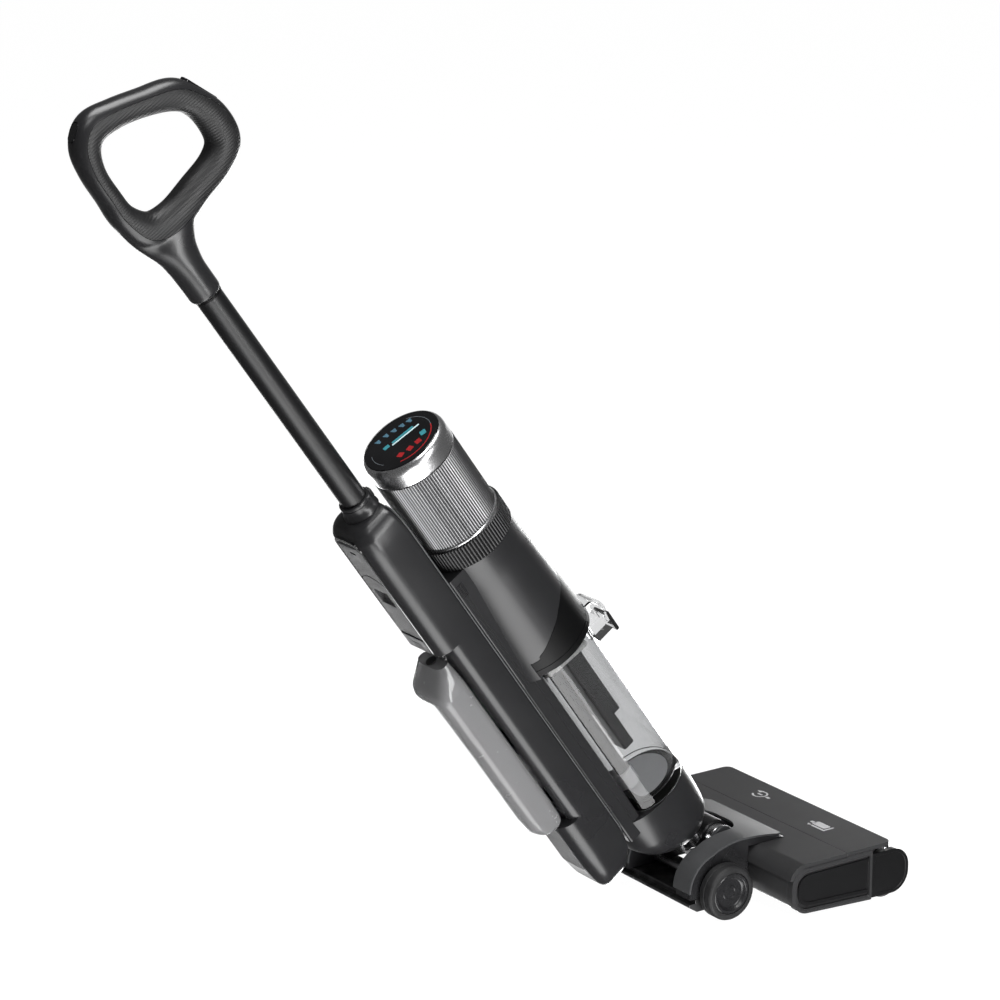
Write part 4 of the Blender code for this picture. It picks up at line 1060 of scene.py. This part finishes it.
def tank_insides():
    duct = solid(along_z(box_outline(-0.015, 0.015, -0.015, 0.006, 0.003, 8), 0.186, 0.28))
    cut(duct, along_z(box_outline(-0.011, 0.011, -0.0085, 0.005, 0.0025, 8), 0.141, 0.2), "UNION")
    cut(duct, along_z(box_outline(-0.0085, 0.0085, -0.0065, 0.003, 0.0015, 6), 0.12, 0.29))
    settle(soften(duct, 0.0008, 3, 45.0), "duct", "dirty_tank", "shell_dark", ["tank_duct"], 30.0)
    centre = (0.0, 0.0182, 0.0)
    riser = hoop([(0.007, 0.0996), (0.0084, 0.0996), (0.0084, 0.2796), (0.007, 0.2796)], centre, "Z", 64)
    settle(solid(riser), "riser", "dirty_tank", "clear", ["suction_riser"], look="satin_grey")
    plate = bridge([tank_plan(-0.015, TANK_BOTTOM + 0.0073), tank_plan(-0.013, TANK_BOTTOM + 0.0085)])
    settle(solid(plate), "cup_floor", "dirty_tank", "clear", look="print_light")
    bob = hoop([(0.0088, 0.1014), (0.0092, 0.101), (0.0116, 0.101), (0.0122, 0.1016), (0.0122, 0.1204),
                (0.0116, 0.121), (0.0092, 0.121), (0.0088, 0.1206)], centre, "Z", 64)
    settle(solid(bob), "bob", "tank_float", "light_plastic", ["tank_float"], 30.0)
    plan = rounded([(-0.03, -0.02), (0.03, -0.02), (0.024, 0.032), (-0.024, 0.032)], 0.006, 8)
    filt = solid(along_z(plan, 0.2803, 0.3026))
    for k in range(9):
        x = -0.024 + 0.006 * k
        cut(filt, block(x - 0.001, x + 0.001, -0.015, 0.027, 0.278, 0.29))
    settle(soften(filt, 0.0005, 2, 45.0), "pleats", "dirty_tank", "filter_white", ["tank_filter"])


def tank_clip():
    clip = rounded([(-0.0632, 0.251), (-0.0594, 0.251), (-0.0594, 0.2757), (-0.0632, 0.2757)], 0.0012, 6)
    item = solid(along_x(clip, -0.01, 0.01))
    for k in range(3):
        z = 0.2545 + 0.003 * k
        cut(item, block(-0.007, 0.007, -0.064, -0.0628, z, z + 0.0012))
    settle(soften(item, 0.0005, 3, 45.0), "clip", "tank_clip", "shell_black", ["tank_clip"])


# ---------------------------------------------------------------- boss and neck
BOSS_ROWS = [
    # half width, front y, back y, z, squareness
    (0.0155, -0.012, 0.018, 0.0054, 2.0), (0.024, -0.02, 0.028, 0.0095, 2.1),
    (0.0315, -0.0285, 0.04, 0.018, 2.3), (0.0365, -0.034, 0.052, 0.03, 2.6),
    (0.0398, -0.0362, 0.0605, 0.048, 2.5), (0.0426, -0.0384, 0.0628, 0.0864, 2.3),
]


def body_boss():
    rings = [section(half, front, back, z, power, 96)
             for half, front, back, z, power in through_heights(BOSS_ROWS, 3, 8)]
    item = solid(bridge(rings))
    plan = box_outline(-0.0315, 0.0315, 0.0385, SPINE_FRONT - 0.0006, 0.003, 6)
    cut(item, along_z(plan, 0.07, 0.2996), "UNION")
    for side in (-1.0, 1.0):
        cut(item, block(*span(side, 0.0309, 0.04), 0.0478, 0.0484, 0.086, 0.31))
    settle(item, "bowl", "body", "shell_dark", ["body_boss"], 30.0)


def neck():
    """Barrel that tilts in the fork and the black elbow that turns the body."""
    hinge = tuple(HINGE_IN_BODY)
    profile = [(0.0, -0.0265), (0.0126, -0.0265), (0.0136, -0.0261), (0.014, -0.0252), (0.014, -0.018),
               (0.0136, -0.0178), (0.0136, 0.0178), (0.014, 0.018), (0.014, 0.0252), (0.0136, 0.0261),
               (0.0126, 0.0265), (0.0, 0.0265)]
    settle(solid(turned(profile, hinge, "X", FINE)), "barrel", "knuckle", "bezel_metal", ["tilt_barrel"],
           30.0)
    rows = [(0.015, -0.027, -0.001, -0.02, 2.4), (0.016, -0.025, 0.01, -0.01, 2.2),
            (0.0158, SWIVEL_Y - 0.017, SWIVEL_Y + 0.016, -0.002, 2.0),
            (0.0155, SWIVEL_Y - 0.0155, SWIVEL_Y + 0.0155, NECK_TOP, 2.0)]
    elbow = bridge([section(half, front, back, z, power, 72)
                    for half, front, back, z, power in through_heights(rows, 3, 6)])
    item = solid(elbow)
    cut(item, rod(0.0176, hinge, -0.017, 0.017, segments=FINE), "UNION")
    cut(item, rod(0.0143, hinge, -0.05, 0.05, segments=FINE))
    groove = hoop([(0.015, 0.001), (0.02, 0.001), (0.02, 0.0018), (0.015, 0.0018)], (0.0, SWIVEL_Y, 0.0),
                  "Z", FINE)
    cut(item, groove)
    settle(soften(item, 0.0004, 2, 45.0), "elbow", "knuckle", "shell_black", ["neck_joint"], 30.0)
    shield = hoop([(0.015, -0.006), (0.017, -0.006), (0.0173, -0.0056), (0.0173, NECK_TOP - 0.0012),
                   (0.017, NECK_TOP - 0.0008), (0.015, NECK_TOP - 0.0008)], (0.0, SWIVEL_Y, 0.0), "Z", FINE)
    settle(solid(shield), "neck_shield", "knuckle", "bezel_metal", (), 30.0)


# ---------------------------------------------------------------- cleaning head
def head_covers():
    outline = [(SEAM_Y, 0.06)] + arc(-0.053, 0.0448, 0.0152, 90.0, 20.0, 16)
    outline += arc(-0.0532, 0.0452, 0.0198, 0.0, 90.0, 24)[4:] + [(SEAM_Y, HEAD_TOP)]
    item = solid(along_x(outline, -HEAD_HALF, HEAD_HALF), FLOOR)
    cut(item, rod(0.02, tuple(HINGE_IN_FLOOR), -0.0425, 0.0425, segments=FINE))
    # the head's lighter look is painted light on the dark shell plastic
    settle(soften(item, 0.0012, 4, 50.0), "rear_cover", "head", "shell_dark", ["head_rear_cover"], 30.0,
           look="head_grey")
    plan = rounded([(-HEAD_HALF, -0.1665), (HEAD_HALF, -0.1665), (HEAD_HALF, SEAM_Y - 0.0006),
                    (-HEAD_HALF, SEAM_Y - 0.0006)], [0.008, 0.008, 0.0004, 0.0004], 10)
    item = solid(along_z(plan, 0.0572, HEAD_TOP), FLOOR)
    cut(item, block(-0.2, 0.2, -0.1628, -0.09, 0.05, 0.0611))
    soften(item, 0.0011, 4, 60.0)
    lock, swing = mark_outlines()
    for outline in lock + swing:
        cut(item, along_z(outline, HEAD_TOP - 0.00035, HEAD_TOP + 0.01))
    # the head's lighter look is painted light on the dark shell plastic
    settle(item, "front_cover", "front_cover", "shell_dark", ["head_front_cover"], 30.0, look="head_grey")
    for name, outlines in (("mark_catch", lock), ("mark_swing", swing)):
        inlay = solid(merged([along_z(outline, HEAD_TOP - 0.0004, HEAD_TOP - 0.0002)
                              for outline in outlines]), FLOOR)
        settle(inlay, name, "front_cover", "light_plastic", look="print_light")


def mark_outlines():
    """Two generic pictograms pressed into the cover: a lift-off tray, and a turning arrow in a ring."""
    tray = [placed(outline, -0.059, -0.1345)
            for outline in (box_outline(-0.015, 0.006, 0.0052, 0.0082, 0.0008, 4),
                            box_outline(-0.015, -0.012, -0.007, 0.0052, 0.0008, 4),
                            box_outline(-0.0105, 0.0095, -0.0062, 0.0038, 0.002, 6),
                            box_outline(0.0075, 0.015, -0.0022, 0.0022, 0.0018, 6),
                            [(0.006, 0.0052), (0.013, 0.0052), (0.0095, 0.0095)])]
    bow = arc(0.0, 0.0, 0.0088, 30.0, 300.0, 28) + arc(0.0, 0.0, 0.0066, 300.0, 30.0, 28)
    ring = [placed(outline, 0.047, -0.14)
            for outline in (bow, [(0.0035, -0.0098), (0.0115, -0.0052), (0.004, -0.003)],
                            box_outline(-0.004, 0.004, -0.0014, 0.0014, 0.001, 4),
                            box_outline(-0.016, -0.01, -0.002, 0.002, 0.0014, 4))]
    return (tray, ring)


def scraper_block(grow=0.0):
    """Strip that leans on the brush from behind, or its slot when grown."""
    lean = math.radians(SCRAPER_LEAN)
    along = Vector((math.cos(lean), math.sin(lean)))
    across = Vector((-along.y, along.x)) * (0.001 + grow)
    near = Vector((ROLLER_Y, ROLLER_Z)) + along * (ROLLER_R + 0.0007 - grow)
    far = Vector((ROLLER_Y, ROLLER_Z)) + along * (ROLLER_R + 0.0085 + grow)
    half = 0.12 + grow
    return along_x([tuple(near - across), tuple(near + across), tuple(far + across), tuple(far - across)],
                   -half, half)


def head_fittings():
    settle(soften(solid(scraper_block(), FLOOR), 0.0003, 2), "scraper", "head", "light_plastic",
           ["scraper_strip"])
    blade = solid(along_x([(-0.1372, 0.0006), (-0.1366, 0.0), (-0.135, 0.0), (-0.1344, 0.0006),
                           (-0.1344, 0.02), (-0.1372, 0.02)], -0.112, 0.112), FLOOR)
    settle(blade, "blade", "head", "rubber", ["squeegee_blade"])
    bar = solid(along_x(box_outline(-0.1606, -0.1534, 0.055, 0.0606, 0.0012, 4), -0.11, 0.11), FLOOR)
    for k in range(9):
        x = -0.096 + 0.024 * k
        cut(bar, rod(0.0008, (x, -0.157, 0.0), 0.054, 0.057, "Z", 16))
    settle(bar, "water_bar", "head", "shell_black", ["spray_bar"])


def front_guard():
    outer = arc(ROLLER_Y, ROLLER_Z, ROLLER_R + 0.0019, 86.0, 212.0, 40)
    inner = arc(ROLLER_Y, ROLLER_Z, ROLLER_R + 0.0006, 212.0, 78.0, 40)
    outline = [(-0.1634, 0.0568), (-0.1652, 0.0568)] + outer + inner
    item = solid(along_x(outline, -0.1255, 0.1255), FLOOR)
    settle(soften(item, 0.0002, 2, 60.0), "guard", "front_cover", "clear", ["front_guard"], 30.0)


def end_outline():
    return rounded([(-0.1414, 0.007), (-0.0372, 0.0126), (-0.0372, 0.0608), (-0.1414, 0.0608)],
                   [0.0015, 0.021, 0.018, 0.0015], 14)


def groove_outline(inset):
    turn = 0.0155 - 0.5 * inset
    return rounded([(-0.1385, 0.012 + inset), (-0.044 - inset, 0.016 + inset),
                    (-0.044 - inset, 0.0545 - inset), (-0.1385, 0.0545 - inset)],
                   [0.001, turn, turn, 0.001], 12)


def head_end(side, word):
    """End frame with stepped stadium rims, and the dark panel set in it."""
    item = solid(along_x(end_outline(), *span(side, END_INNER, HEAD_HALF)), FLOOR)
    cut(item, along_x(groove_outline(0.0), *span(side, END_INNER + 0.003, 0.2)))
    rim = bridge([[(side * x, y, z) for y, z in groove_outline(inset)]
                  for x, inset in ((HEAD_HALF + 0.001, -0.003), (HEAD_HALF - 0.0012, -0.0002))])
    cut(item, rim)
    # the head's lighter look is painted light on the dark shell plastic
    settle(soften(item, 0.0007, 3, 40.0), f"side_frame_{word}", "head", "shell_dark", [f"end_frame_{word}"],
           30.0, look="head_grey")
    panel = solid(along_x(groove_outline(0.003), *span(side, END_INNER + 0.0033, HEAD_HALF - 0.002)), FLOOR)
    cut(panel, along_x(groove_outline(0.0062), *span(side, HEAD_HALF - 0.003, 0.2)))
    settle(soften(panel, 0.0004, 2, 40.0), f"side_panel_{word}", "head", "shell_black",
           [f"end_panel_{word}"], 30.0)


def head_base():
    rear = rounded([(-0.08, 0.0118), (-0.037, 0.0144), (-0.037, 0.0608), (-0.08, 0.0608)],
                   [0.0, 0.021, 0.016, 0.0], 12)
    outline = rear + [(-0.15, 0.0608)] + arc(ROLLER_Y, ROLLER_Z, 0.0258, 58.0, -40.0, 32)
    item = solid(along_x(outline, -0.1272, 0.1272), FLOOR)
    cut(item, rod(0.02, tuple(HINGE_IN_FLOOR), -0.0425, 0.0425, segments=FINE))
    cut(item, block(-0.1123, 0.1123, -0.1375, -0.1341, -0.002, 0.0203))
    cut(item, block(-0.018, 0.018, -0.16, -0.03, 0.018, 0.042))
    cut(item, scraper_block(0.0003))
    # the head's lighter look is painted light on the dark shell plastic
    settle(item, "lower_housing", "head", "shell_dark", ["head_base"], 30.0, look="head_grey")


def cap_outline(inset=0.0):
    return rounded([(-0.1418 - inset, 0.0082 + inset), (-0.1418 - inset, 0.0555 - inset),
                    (-0.1905 + inset, 0.0555 - inset), (-0.1905 + inset, 0.007 + inset)],
                   [0.0015, 0.0015, 0.0215 - inset, 0.0215 - inset], 16)


def roller_caps():
    centre = (0.0, ROLLER_Y, ROLLER_Z)
    for side, node, body, plug, plug_to in ((-1.0, "roller_end_cap", "roller_cap", 0.016, 0.104),
                                            (1.0, "roller_drive_cap", "head", 0.0158, 0.118)):
        item = solid(along_x(cap_outline(), *span(side, 0.134, 0.1273)), FLOOR)
        cut(item, rod(plug, centre, *span(side, 0.129, plug_to), segments=FINE), "UNION")
        cut(item, along_x(cap_outline(0.0035), *span(side, 0.1334, 0.14)))
        settle(soften(item, 0.0006, 3, 45.0), node.replace("roller_", "brush_"), body, "shell_black",
               [node], 30.0)


def roller():
    """Brush: short pile in slanted tufts round a tube."""
    centre = (0.0, ROLLER_Y, ROLLER_Z)
    rings = []
    for x in steps_between(-0.1245, 0.1245, 90):
        points = []
        edge = 0.0008 * (1.0 - smoothstep(0.0, 0.002, 0.1245 - abs(x)))
        for a in turns(180):
            tuft = noise.noise(Vector((x * 420.0, 9.0 * math.cos(a) * 4.0, 9.0 * math.sin(a) * 4.0)))
            twist = math.sin(6.0 * a + x * 90.0)
            radius = ROLLER_R - 0.0004 - edge + 0.0003 * tuft + 0.0001 * twist
            points.append((x, centre[1] + radius * math.sin(a), centre[2] - radius * math.cos(a)))
        rings.append(points)
    pile = solid(bridge(rings), FLOOR)
    cut(pile, rod(0.0196, centre, -0.2, 0.2, segments=FINE))
    settle(pile, "pile", "roller", "plush", ["roller_sleeve"])
    core = hoop([(0.0165, -0.1268), (0.0193, -0.1268), (0.0193, 0.1262), (0.0165, 0.1262)], centre, "X",
                FINE)
    settle(solid(core, FLOOR), "brush_tube", "roller", "light_plastic", ["roller_core"])


# ---------------------------------------------------------------- fork and wheels
def fork_line():
    """Top line of the fork from its front edge, over the arms and down behind."""
    bow = curve_through([(-0.0832, 0.0655), (-0.056, 0.0706), (-0.03, 0.0738), (-0.013, 0.0726),
                         (0.004, 0.0679)], 10)
    return bow[:-1] + arc(0.0, AXLE_Z, 0.0372, 74.0, 2.0, 20)


def slot_outline(half, front, radius):
    return rounded([(half, 0.2), (-half, 0.2), (-half, front), (half, front)], [0.0, 0.0, radius, radius],
                   16)


def fork():
    line = fork_line()
    outline = line + [(0.0372, 0.0228), (-0.0366, 0.0228), (-0.0366, 0.0653)]
    item = solid(along_x(outline, -ARM_OUT, ARM_OUT), FLOOR)
    cut(item, along_z(slot_outline(0.041, -0.053, 0.017), -0.1, 0.2))
    cut(item, rod(0.0043, (0.0, 0.0, AXLE_Z), -0.1, 0.1, segments=48))
    settle(soften(item, 0.0006, 2, 45.0), "fork", "head", "shell_dark", ["fork_frame"], 30.0)
    lifted = shifted(line, 0.0004)
    skin = solid(along_x(lifted + shifted(lifted, 0.002)[::-1], -0.066, 0.066), FLOOR)
    cut(skin, along_z(slot_outline(0.0385, -0.053, 0.03), -0.1, 0.2))
    for side in (-1.0, 1.0):
        corner = [(side * 0.06, -0.1), (side * 0.056, -0.086), (side * 0.06, -0.078),
                  (side * 0.0661, -0.03), (side * 0.1, -0.03), (side * 0.1, -0.1)]
        cut(skin, along_z(corner, 0.0, 0.1))
    settle(soften(skin, 0.0007, 4, 40.0), "fork_skin", "head", "shell_grey", ["fork_cover"], 30.0,
           look="satin_grey")


def axle():
    outline = rounded([(-0.03, 0.013), (-0.01, 0.0086), (0.028, 0.0086), (0.038, 0.015), (0.038, 0.018),
                       (0.03, 0.018), (0.03, 0.0224), (-0.03, 0.0224)],
                      [0.002, 0.003, 0.003, 0.002, 0.001, 0.0, 0.001, 0.002], 6)
    item = solid(along_x(outline, -ARM_OUT, ARM_OUT), FLOOR)
    for side in (-1.0, 1.0):
        cut(item, block(*span(side, 0.03, 0.0306), 0.025, 0.039, 0.01, 0.023))
    settle(soften(item, 0.0007, 3, 40.0), "bar", "head", "silver", ["axle_bar"], 30.0)
    pin = turned([(0.0, -0.08), (0.0035, -0.08), (0.004, -0.0795), (0.004, 0.0795), (0.0035, 0.08),
                  (0.0, 0.08)], (0.0, 0.0, AXLE_Z), "X", 48)
    settle(solid(pin, FLOOR), "pin", "head", "steel", ["axle_rod"], 30.0)


def wheel(side, word):
    centre = (0.0, 0.0, AXLE_Z)
    lo = WHEEL_IN
    hi = WHEEL_OUT
    tyre = [(HUB_R, lo), (WHEEL_R - 0.0032, lo), (WHEEL_R - 0.0024, lo + 0.0003),
            (WHEEL_R - 0.0008, lo + 0.0016), (WHEEL_R, lo + 0.0034), (WHEEL_R, lo + 0.0084),
            (WHEEL_R - 0.0005, lo + 0.0087), (WHEEL_R - 0.0005, lo + 0.0103), (WHEEL_R, lo + 0.0106),
            (WHEEL_R, hi - 0.0034), (WHEEL_R - 0.0008, hi - 0.0016), (WHEEL_R - 0.0024, hi - 0.0003),
            (WHEEL_R - 0.0032, hi), (HUB_R + 0.0014, hi), (HUB_R + 0.001, hi - 0.0004),
            (HUB_R, hi - 0.0004)]
    item = solid(hoop([(r, side * h) for r, h in tyre], centre, "X", FINE), FLOOR)
    settle(item, f"rim_{word}", f"wheel_{word}", "rubber", [f"tyre_{word}"], 30.0)
    edge = HUB_R - 0.0003
    hub = [(0.0, hi - 0.004), (0.006, hi - 0.004), (0.0066, hi - 0.0034), (0.0076, hi - 0.0034),
           (0.0082, hi - 0.004), (0.015, hi - 0.004), (0.016, hi - 0.0034), (0.0172, hi - 0.002),
           (0.0178, hi - 0.0008), (0.0184, hi - 0.0004), (0.0206, hi - 0.0004), (0.0212, hi - 0.0008),
           (edge, hi - 0.0018), (edge, lo + 0.001), (0.0085, lo + 0.001), (0.0085, lo - 0.0016),
           (0.0043, lo - 0.0016), (0.0043, 0.0802), (0.0, 0.0802)]
    item = solid(turned([(r, side * h) for r, h in hub], centre, "X", FINE), FLOOR)
    settle(item, f"hub_{word}", f"wheel_{word}", "shell_dark", [f"wheel_hub_{word}"], 30.0)


def pivot_cap(side, word):
    profile = [(0.0, 0.0268), (0.0136, 0.0268), (0.0146, 0.0272), (0.015, 0.028), (0.015, 0.0308),
               (0.0146, 0.0315), (0.007, 0.0315), (0.007, 0.0407), (0.0, 0.0407)]
    item = solid(turned([(r, side * h) for r, h in profile], tuple(HINGE_IN_FLOOR), "X", FINE), FLOOR)
    settle(item, f"pivot_ring_{word}", "head", "shell_grey", [f"pivot_cap_{word}"], 30.0)


# ---------------------------------------------------------------- kept CAD nodes
def dress_frame():
    """Give every CAD node, shown or not, the finish of its record slot."""
    slots = {row["node"]: row["material_slot"] for row in frame["record"]["subparts"]}
    for name, item in frame["nodes"].items():
        item.data.materials.clear()
        item.data.materials.append(LOOKS[slots[name]])


# ---------------------------------------------------------------- studio
def area_light(name, offset, size, power, height=None):
    """Soft light placed from the middle of the machine and aimed back at it."""
    data = bpy.data.lights.new(name, "AREA")
    data.energy = power
    data.size = size
    if height is not None:
        data.shape = "RECTANGLE"
        data.size_y = height
    made = bpy.data.objects.new(name, data)
    bpy.context.scene.collection.objects.link(made)
    made.location = MIDDLE + offset
    made.rotation_euler = (MIDDLE - made.location).to_track_quat("-Z", "Y").to_euler()


def backdrop():
    """Seamless pale floor, and a white surround seen only where the floor ends."""
    bm = along_z(arc(0.0, 0.0, 12.0, 0.0, 354.375, 63), -0.02, -0.0002)
    item = solid(bm, Matrix.Identity(4))
    item.name = "studio_floor"
    g = Graph("studio_floor")
    cloud = g.noise(0.8, 3.0)
    g.surface(g.blend_colour(g.remap(cloud, 0.0, 1.0), (0.9, 0.9, 0.9), (0.93, 0.93, 0.93)),
              g.remap(cloud, 0.7, 0.8), None, Specular_IOR_Level=0.2)
    glow = g.node("ShaderNodeEmission")
    glow.inputs["Color"].default_value = (1.0, 1.0, 1.0, 1.0)
    glow.inputs["Strength"].default_value = 1.15
    paths = g.node("ShaderNodeLightPath")
    seen = g.node("ShaderNodeMath", operation="MAXIMUM")
    g.link(paths.outputs["Is Camera Ray"], seen.inputs[0])
    g.link(paths.outputs["Is Transmission Ray"], seen.inputs[1])
    share = g.node("ShaderNodeMath", operation="MULTIPLY")
    share.inputs[1].default_value = 0.85
    pick = g.node("ShaderNodeMixShader")
    out = g.tree.nodes["Material Output"]
    g.link(seen.outputs["Value"], share.inputs[0])
    g.link(share.outputs["Value"], pick.inputs["Fac"])
    g.link(g.shader.outputs["BSDF"], pick.inputs[1])
    g.link(glow.outputs["Emission"], pick.inputs[2])
    g.link(pick.outputs["Shader"], out.inputs["Surface"])
    item.data.materials.append(g.material)
    item.visible_glossy = False
    item.visible_shadow = False


BRIGHT_SIDE = (0.793, -0.545, -0.274)


def world_light():
    world = bpy.data.worlds.new("studio")
    bpy.context.scene.world = world
    world.use_nodes = True
    tree = world.node_tree
    tree.nodes.clear()
    paths = tree.nodes.new("ShaderNodeLightPath")
    seen = tree.nodes.new("ShaderNodeBackground")
    seen.inputs["Color"].default_value = (1.0, 1.0, 1.0, 1.0)
    seen.inputs["Strength"].default_value = 1.0
    fill = tree.nodes.new("ShaderNodeBackground")
    fill.inputs["Color"].default_value = (1.0, 1.0, 1.0, 1.0)
    coords = tree.nodes.new("ShaderNodeTexCoord")
    facing = tree.nodes.new("ShaderNodeVectorMath")
    facing.operation = "DOT_PRODUCT"
    facing.inputs[1].default_value = BRIGHT_SIDE
    ramp = tree.nodes.new("ShaderNodeMapRange")
    ramp.interpolation_type = "SMOOTHSTEP"
    ramp.inputs["From Min"].default_value = 0.8
    ramp.inputs["From Max"].default_value = 0.99
    ramp.inputs["To Min"].default_value = 0.1
    ramp.inputs["To Max"].default_value = 1.1
    tree.links.new(coords.outputs["Generated"], facing.inputs[0])
    tree.links.new(facing.outputs["Value"], ramp.inputs["Value"])
    tree.links.new(ramp.outputs["Result"], fill.inputs["Strength"])
    pick = tree.nodes.new("ShaderNodeMixShader")
    out = tree.nodes.new("ShaderNodeOutputWorld")
    tree.links.new(paths.outputs["Is Camera Ray"], pick.inputs["Fac"])
    tree.links.new(fill.outputs["Background"], pick.inputs[1])
    tree.links.new(seen.outputs["Background"], pick.inputs[2])
    tree.links.new(pick.outputs["Shader"], out.inputs["Surface"])


CAMERA_AZIMUTH = -124.48
CAMERA_ELEVATION = 15.92
CAMERA_DISTANCE = 3.647
CAMERA_LENS = 127.76
TARGET_RIGHT = -0.18547
TARGET_UP = 0.40497
MIDDLE = Vector((0.0, 0.0, 0.45))


def camera_and_lights():
    azimuth = math.radians(CAMERA_AZIMUTH)
    elevation = math.radians(CAMERA_ELEVATION)
    back = Vector((math.sin(azimuth) * math.cos(elevation), -math.cos(azimuth) * math.cos(elevation),
                   math.sin(elevation)))
    right = Vector((math.cos(azimuth), math.sin(azimuth), 0.0))
    up = back.cross(right)
    target = right * TARGET_RIGHT + up * TARGET_UP + Vector((0.0, AXLE.y, 0.0))
    data = bpy.data.cameras.new("camera")
    data.sensor_width = 36.0
    data.lens = CAMERA_LENS
    data.clip_end = 50.0
    made = bpy.data.objects.new("camera", data)
    bpy.context.scene.collection.objects.link(made)
    bpy.context.scene.view_settings.view_transform = "Standard"
    made.matrix_world = Matrix.Translation(target
                                           + back * CAMERA_DISTANCE) @ Matrix((
                                               right, up, back)).transposed().to_4x4()
    bpy.context.scene.camera = made
    area_light("band", Vector((-0.63, 0.12, -0.75)) * 1.7, 1.0, 26.0, 1.5)
    area_light("side_strip", Vector((-0.97, -0.1, 0.08)) * 1.8, 0.35, 24.0, 1.6)
    area_light("right_edge", Vector((0.5, -0.86, -0.5)) * 1.7, 0.8, 34.0, 1.4)
    area_light("left_edge", Vector((0.9, -0.22, -0.5)) * 1.8, 0.5, 8.0, 1.4)
    area_light("overhead", Vector((-0.3, 0.2, 2.3)), 1.4, 62.0)
    area_light("front", back * 2.4 + up * 1.4, 0.8, 12.0)


def main():
    for build in (dress_frame, handle, handle_tube, collar, spine, battery, clean_tank, motor_housing,
                  tank_lid, crown, dirty_tank, tank_insides, tank_clip, body_boss, neck, head_base,
                  head_covers, head_fittings, front_guard, roller_caps, roller, fork, axle):
        build()
    for side, word in SIDES:
        for build in (head_end, wheel, pivot_cap):
            build(side, word)
    backdrop()
    world_light()
    camera_and_lights()
    bpy.context.view_layer.update()


main()
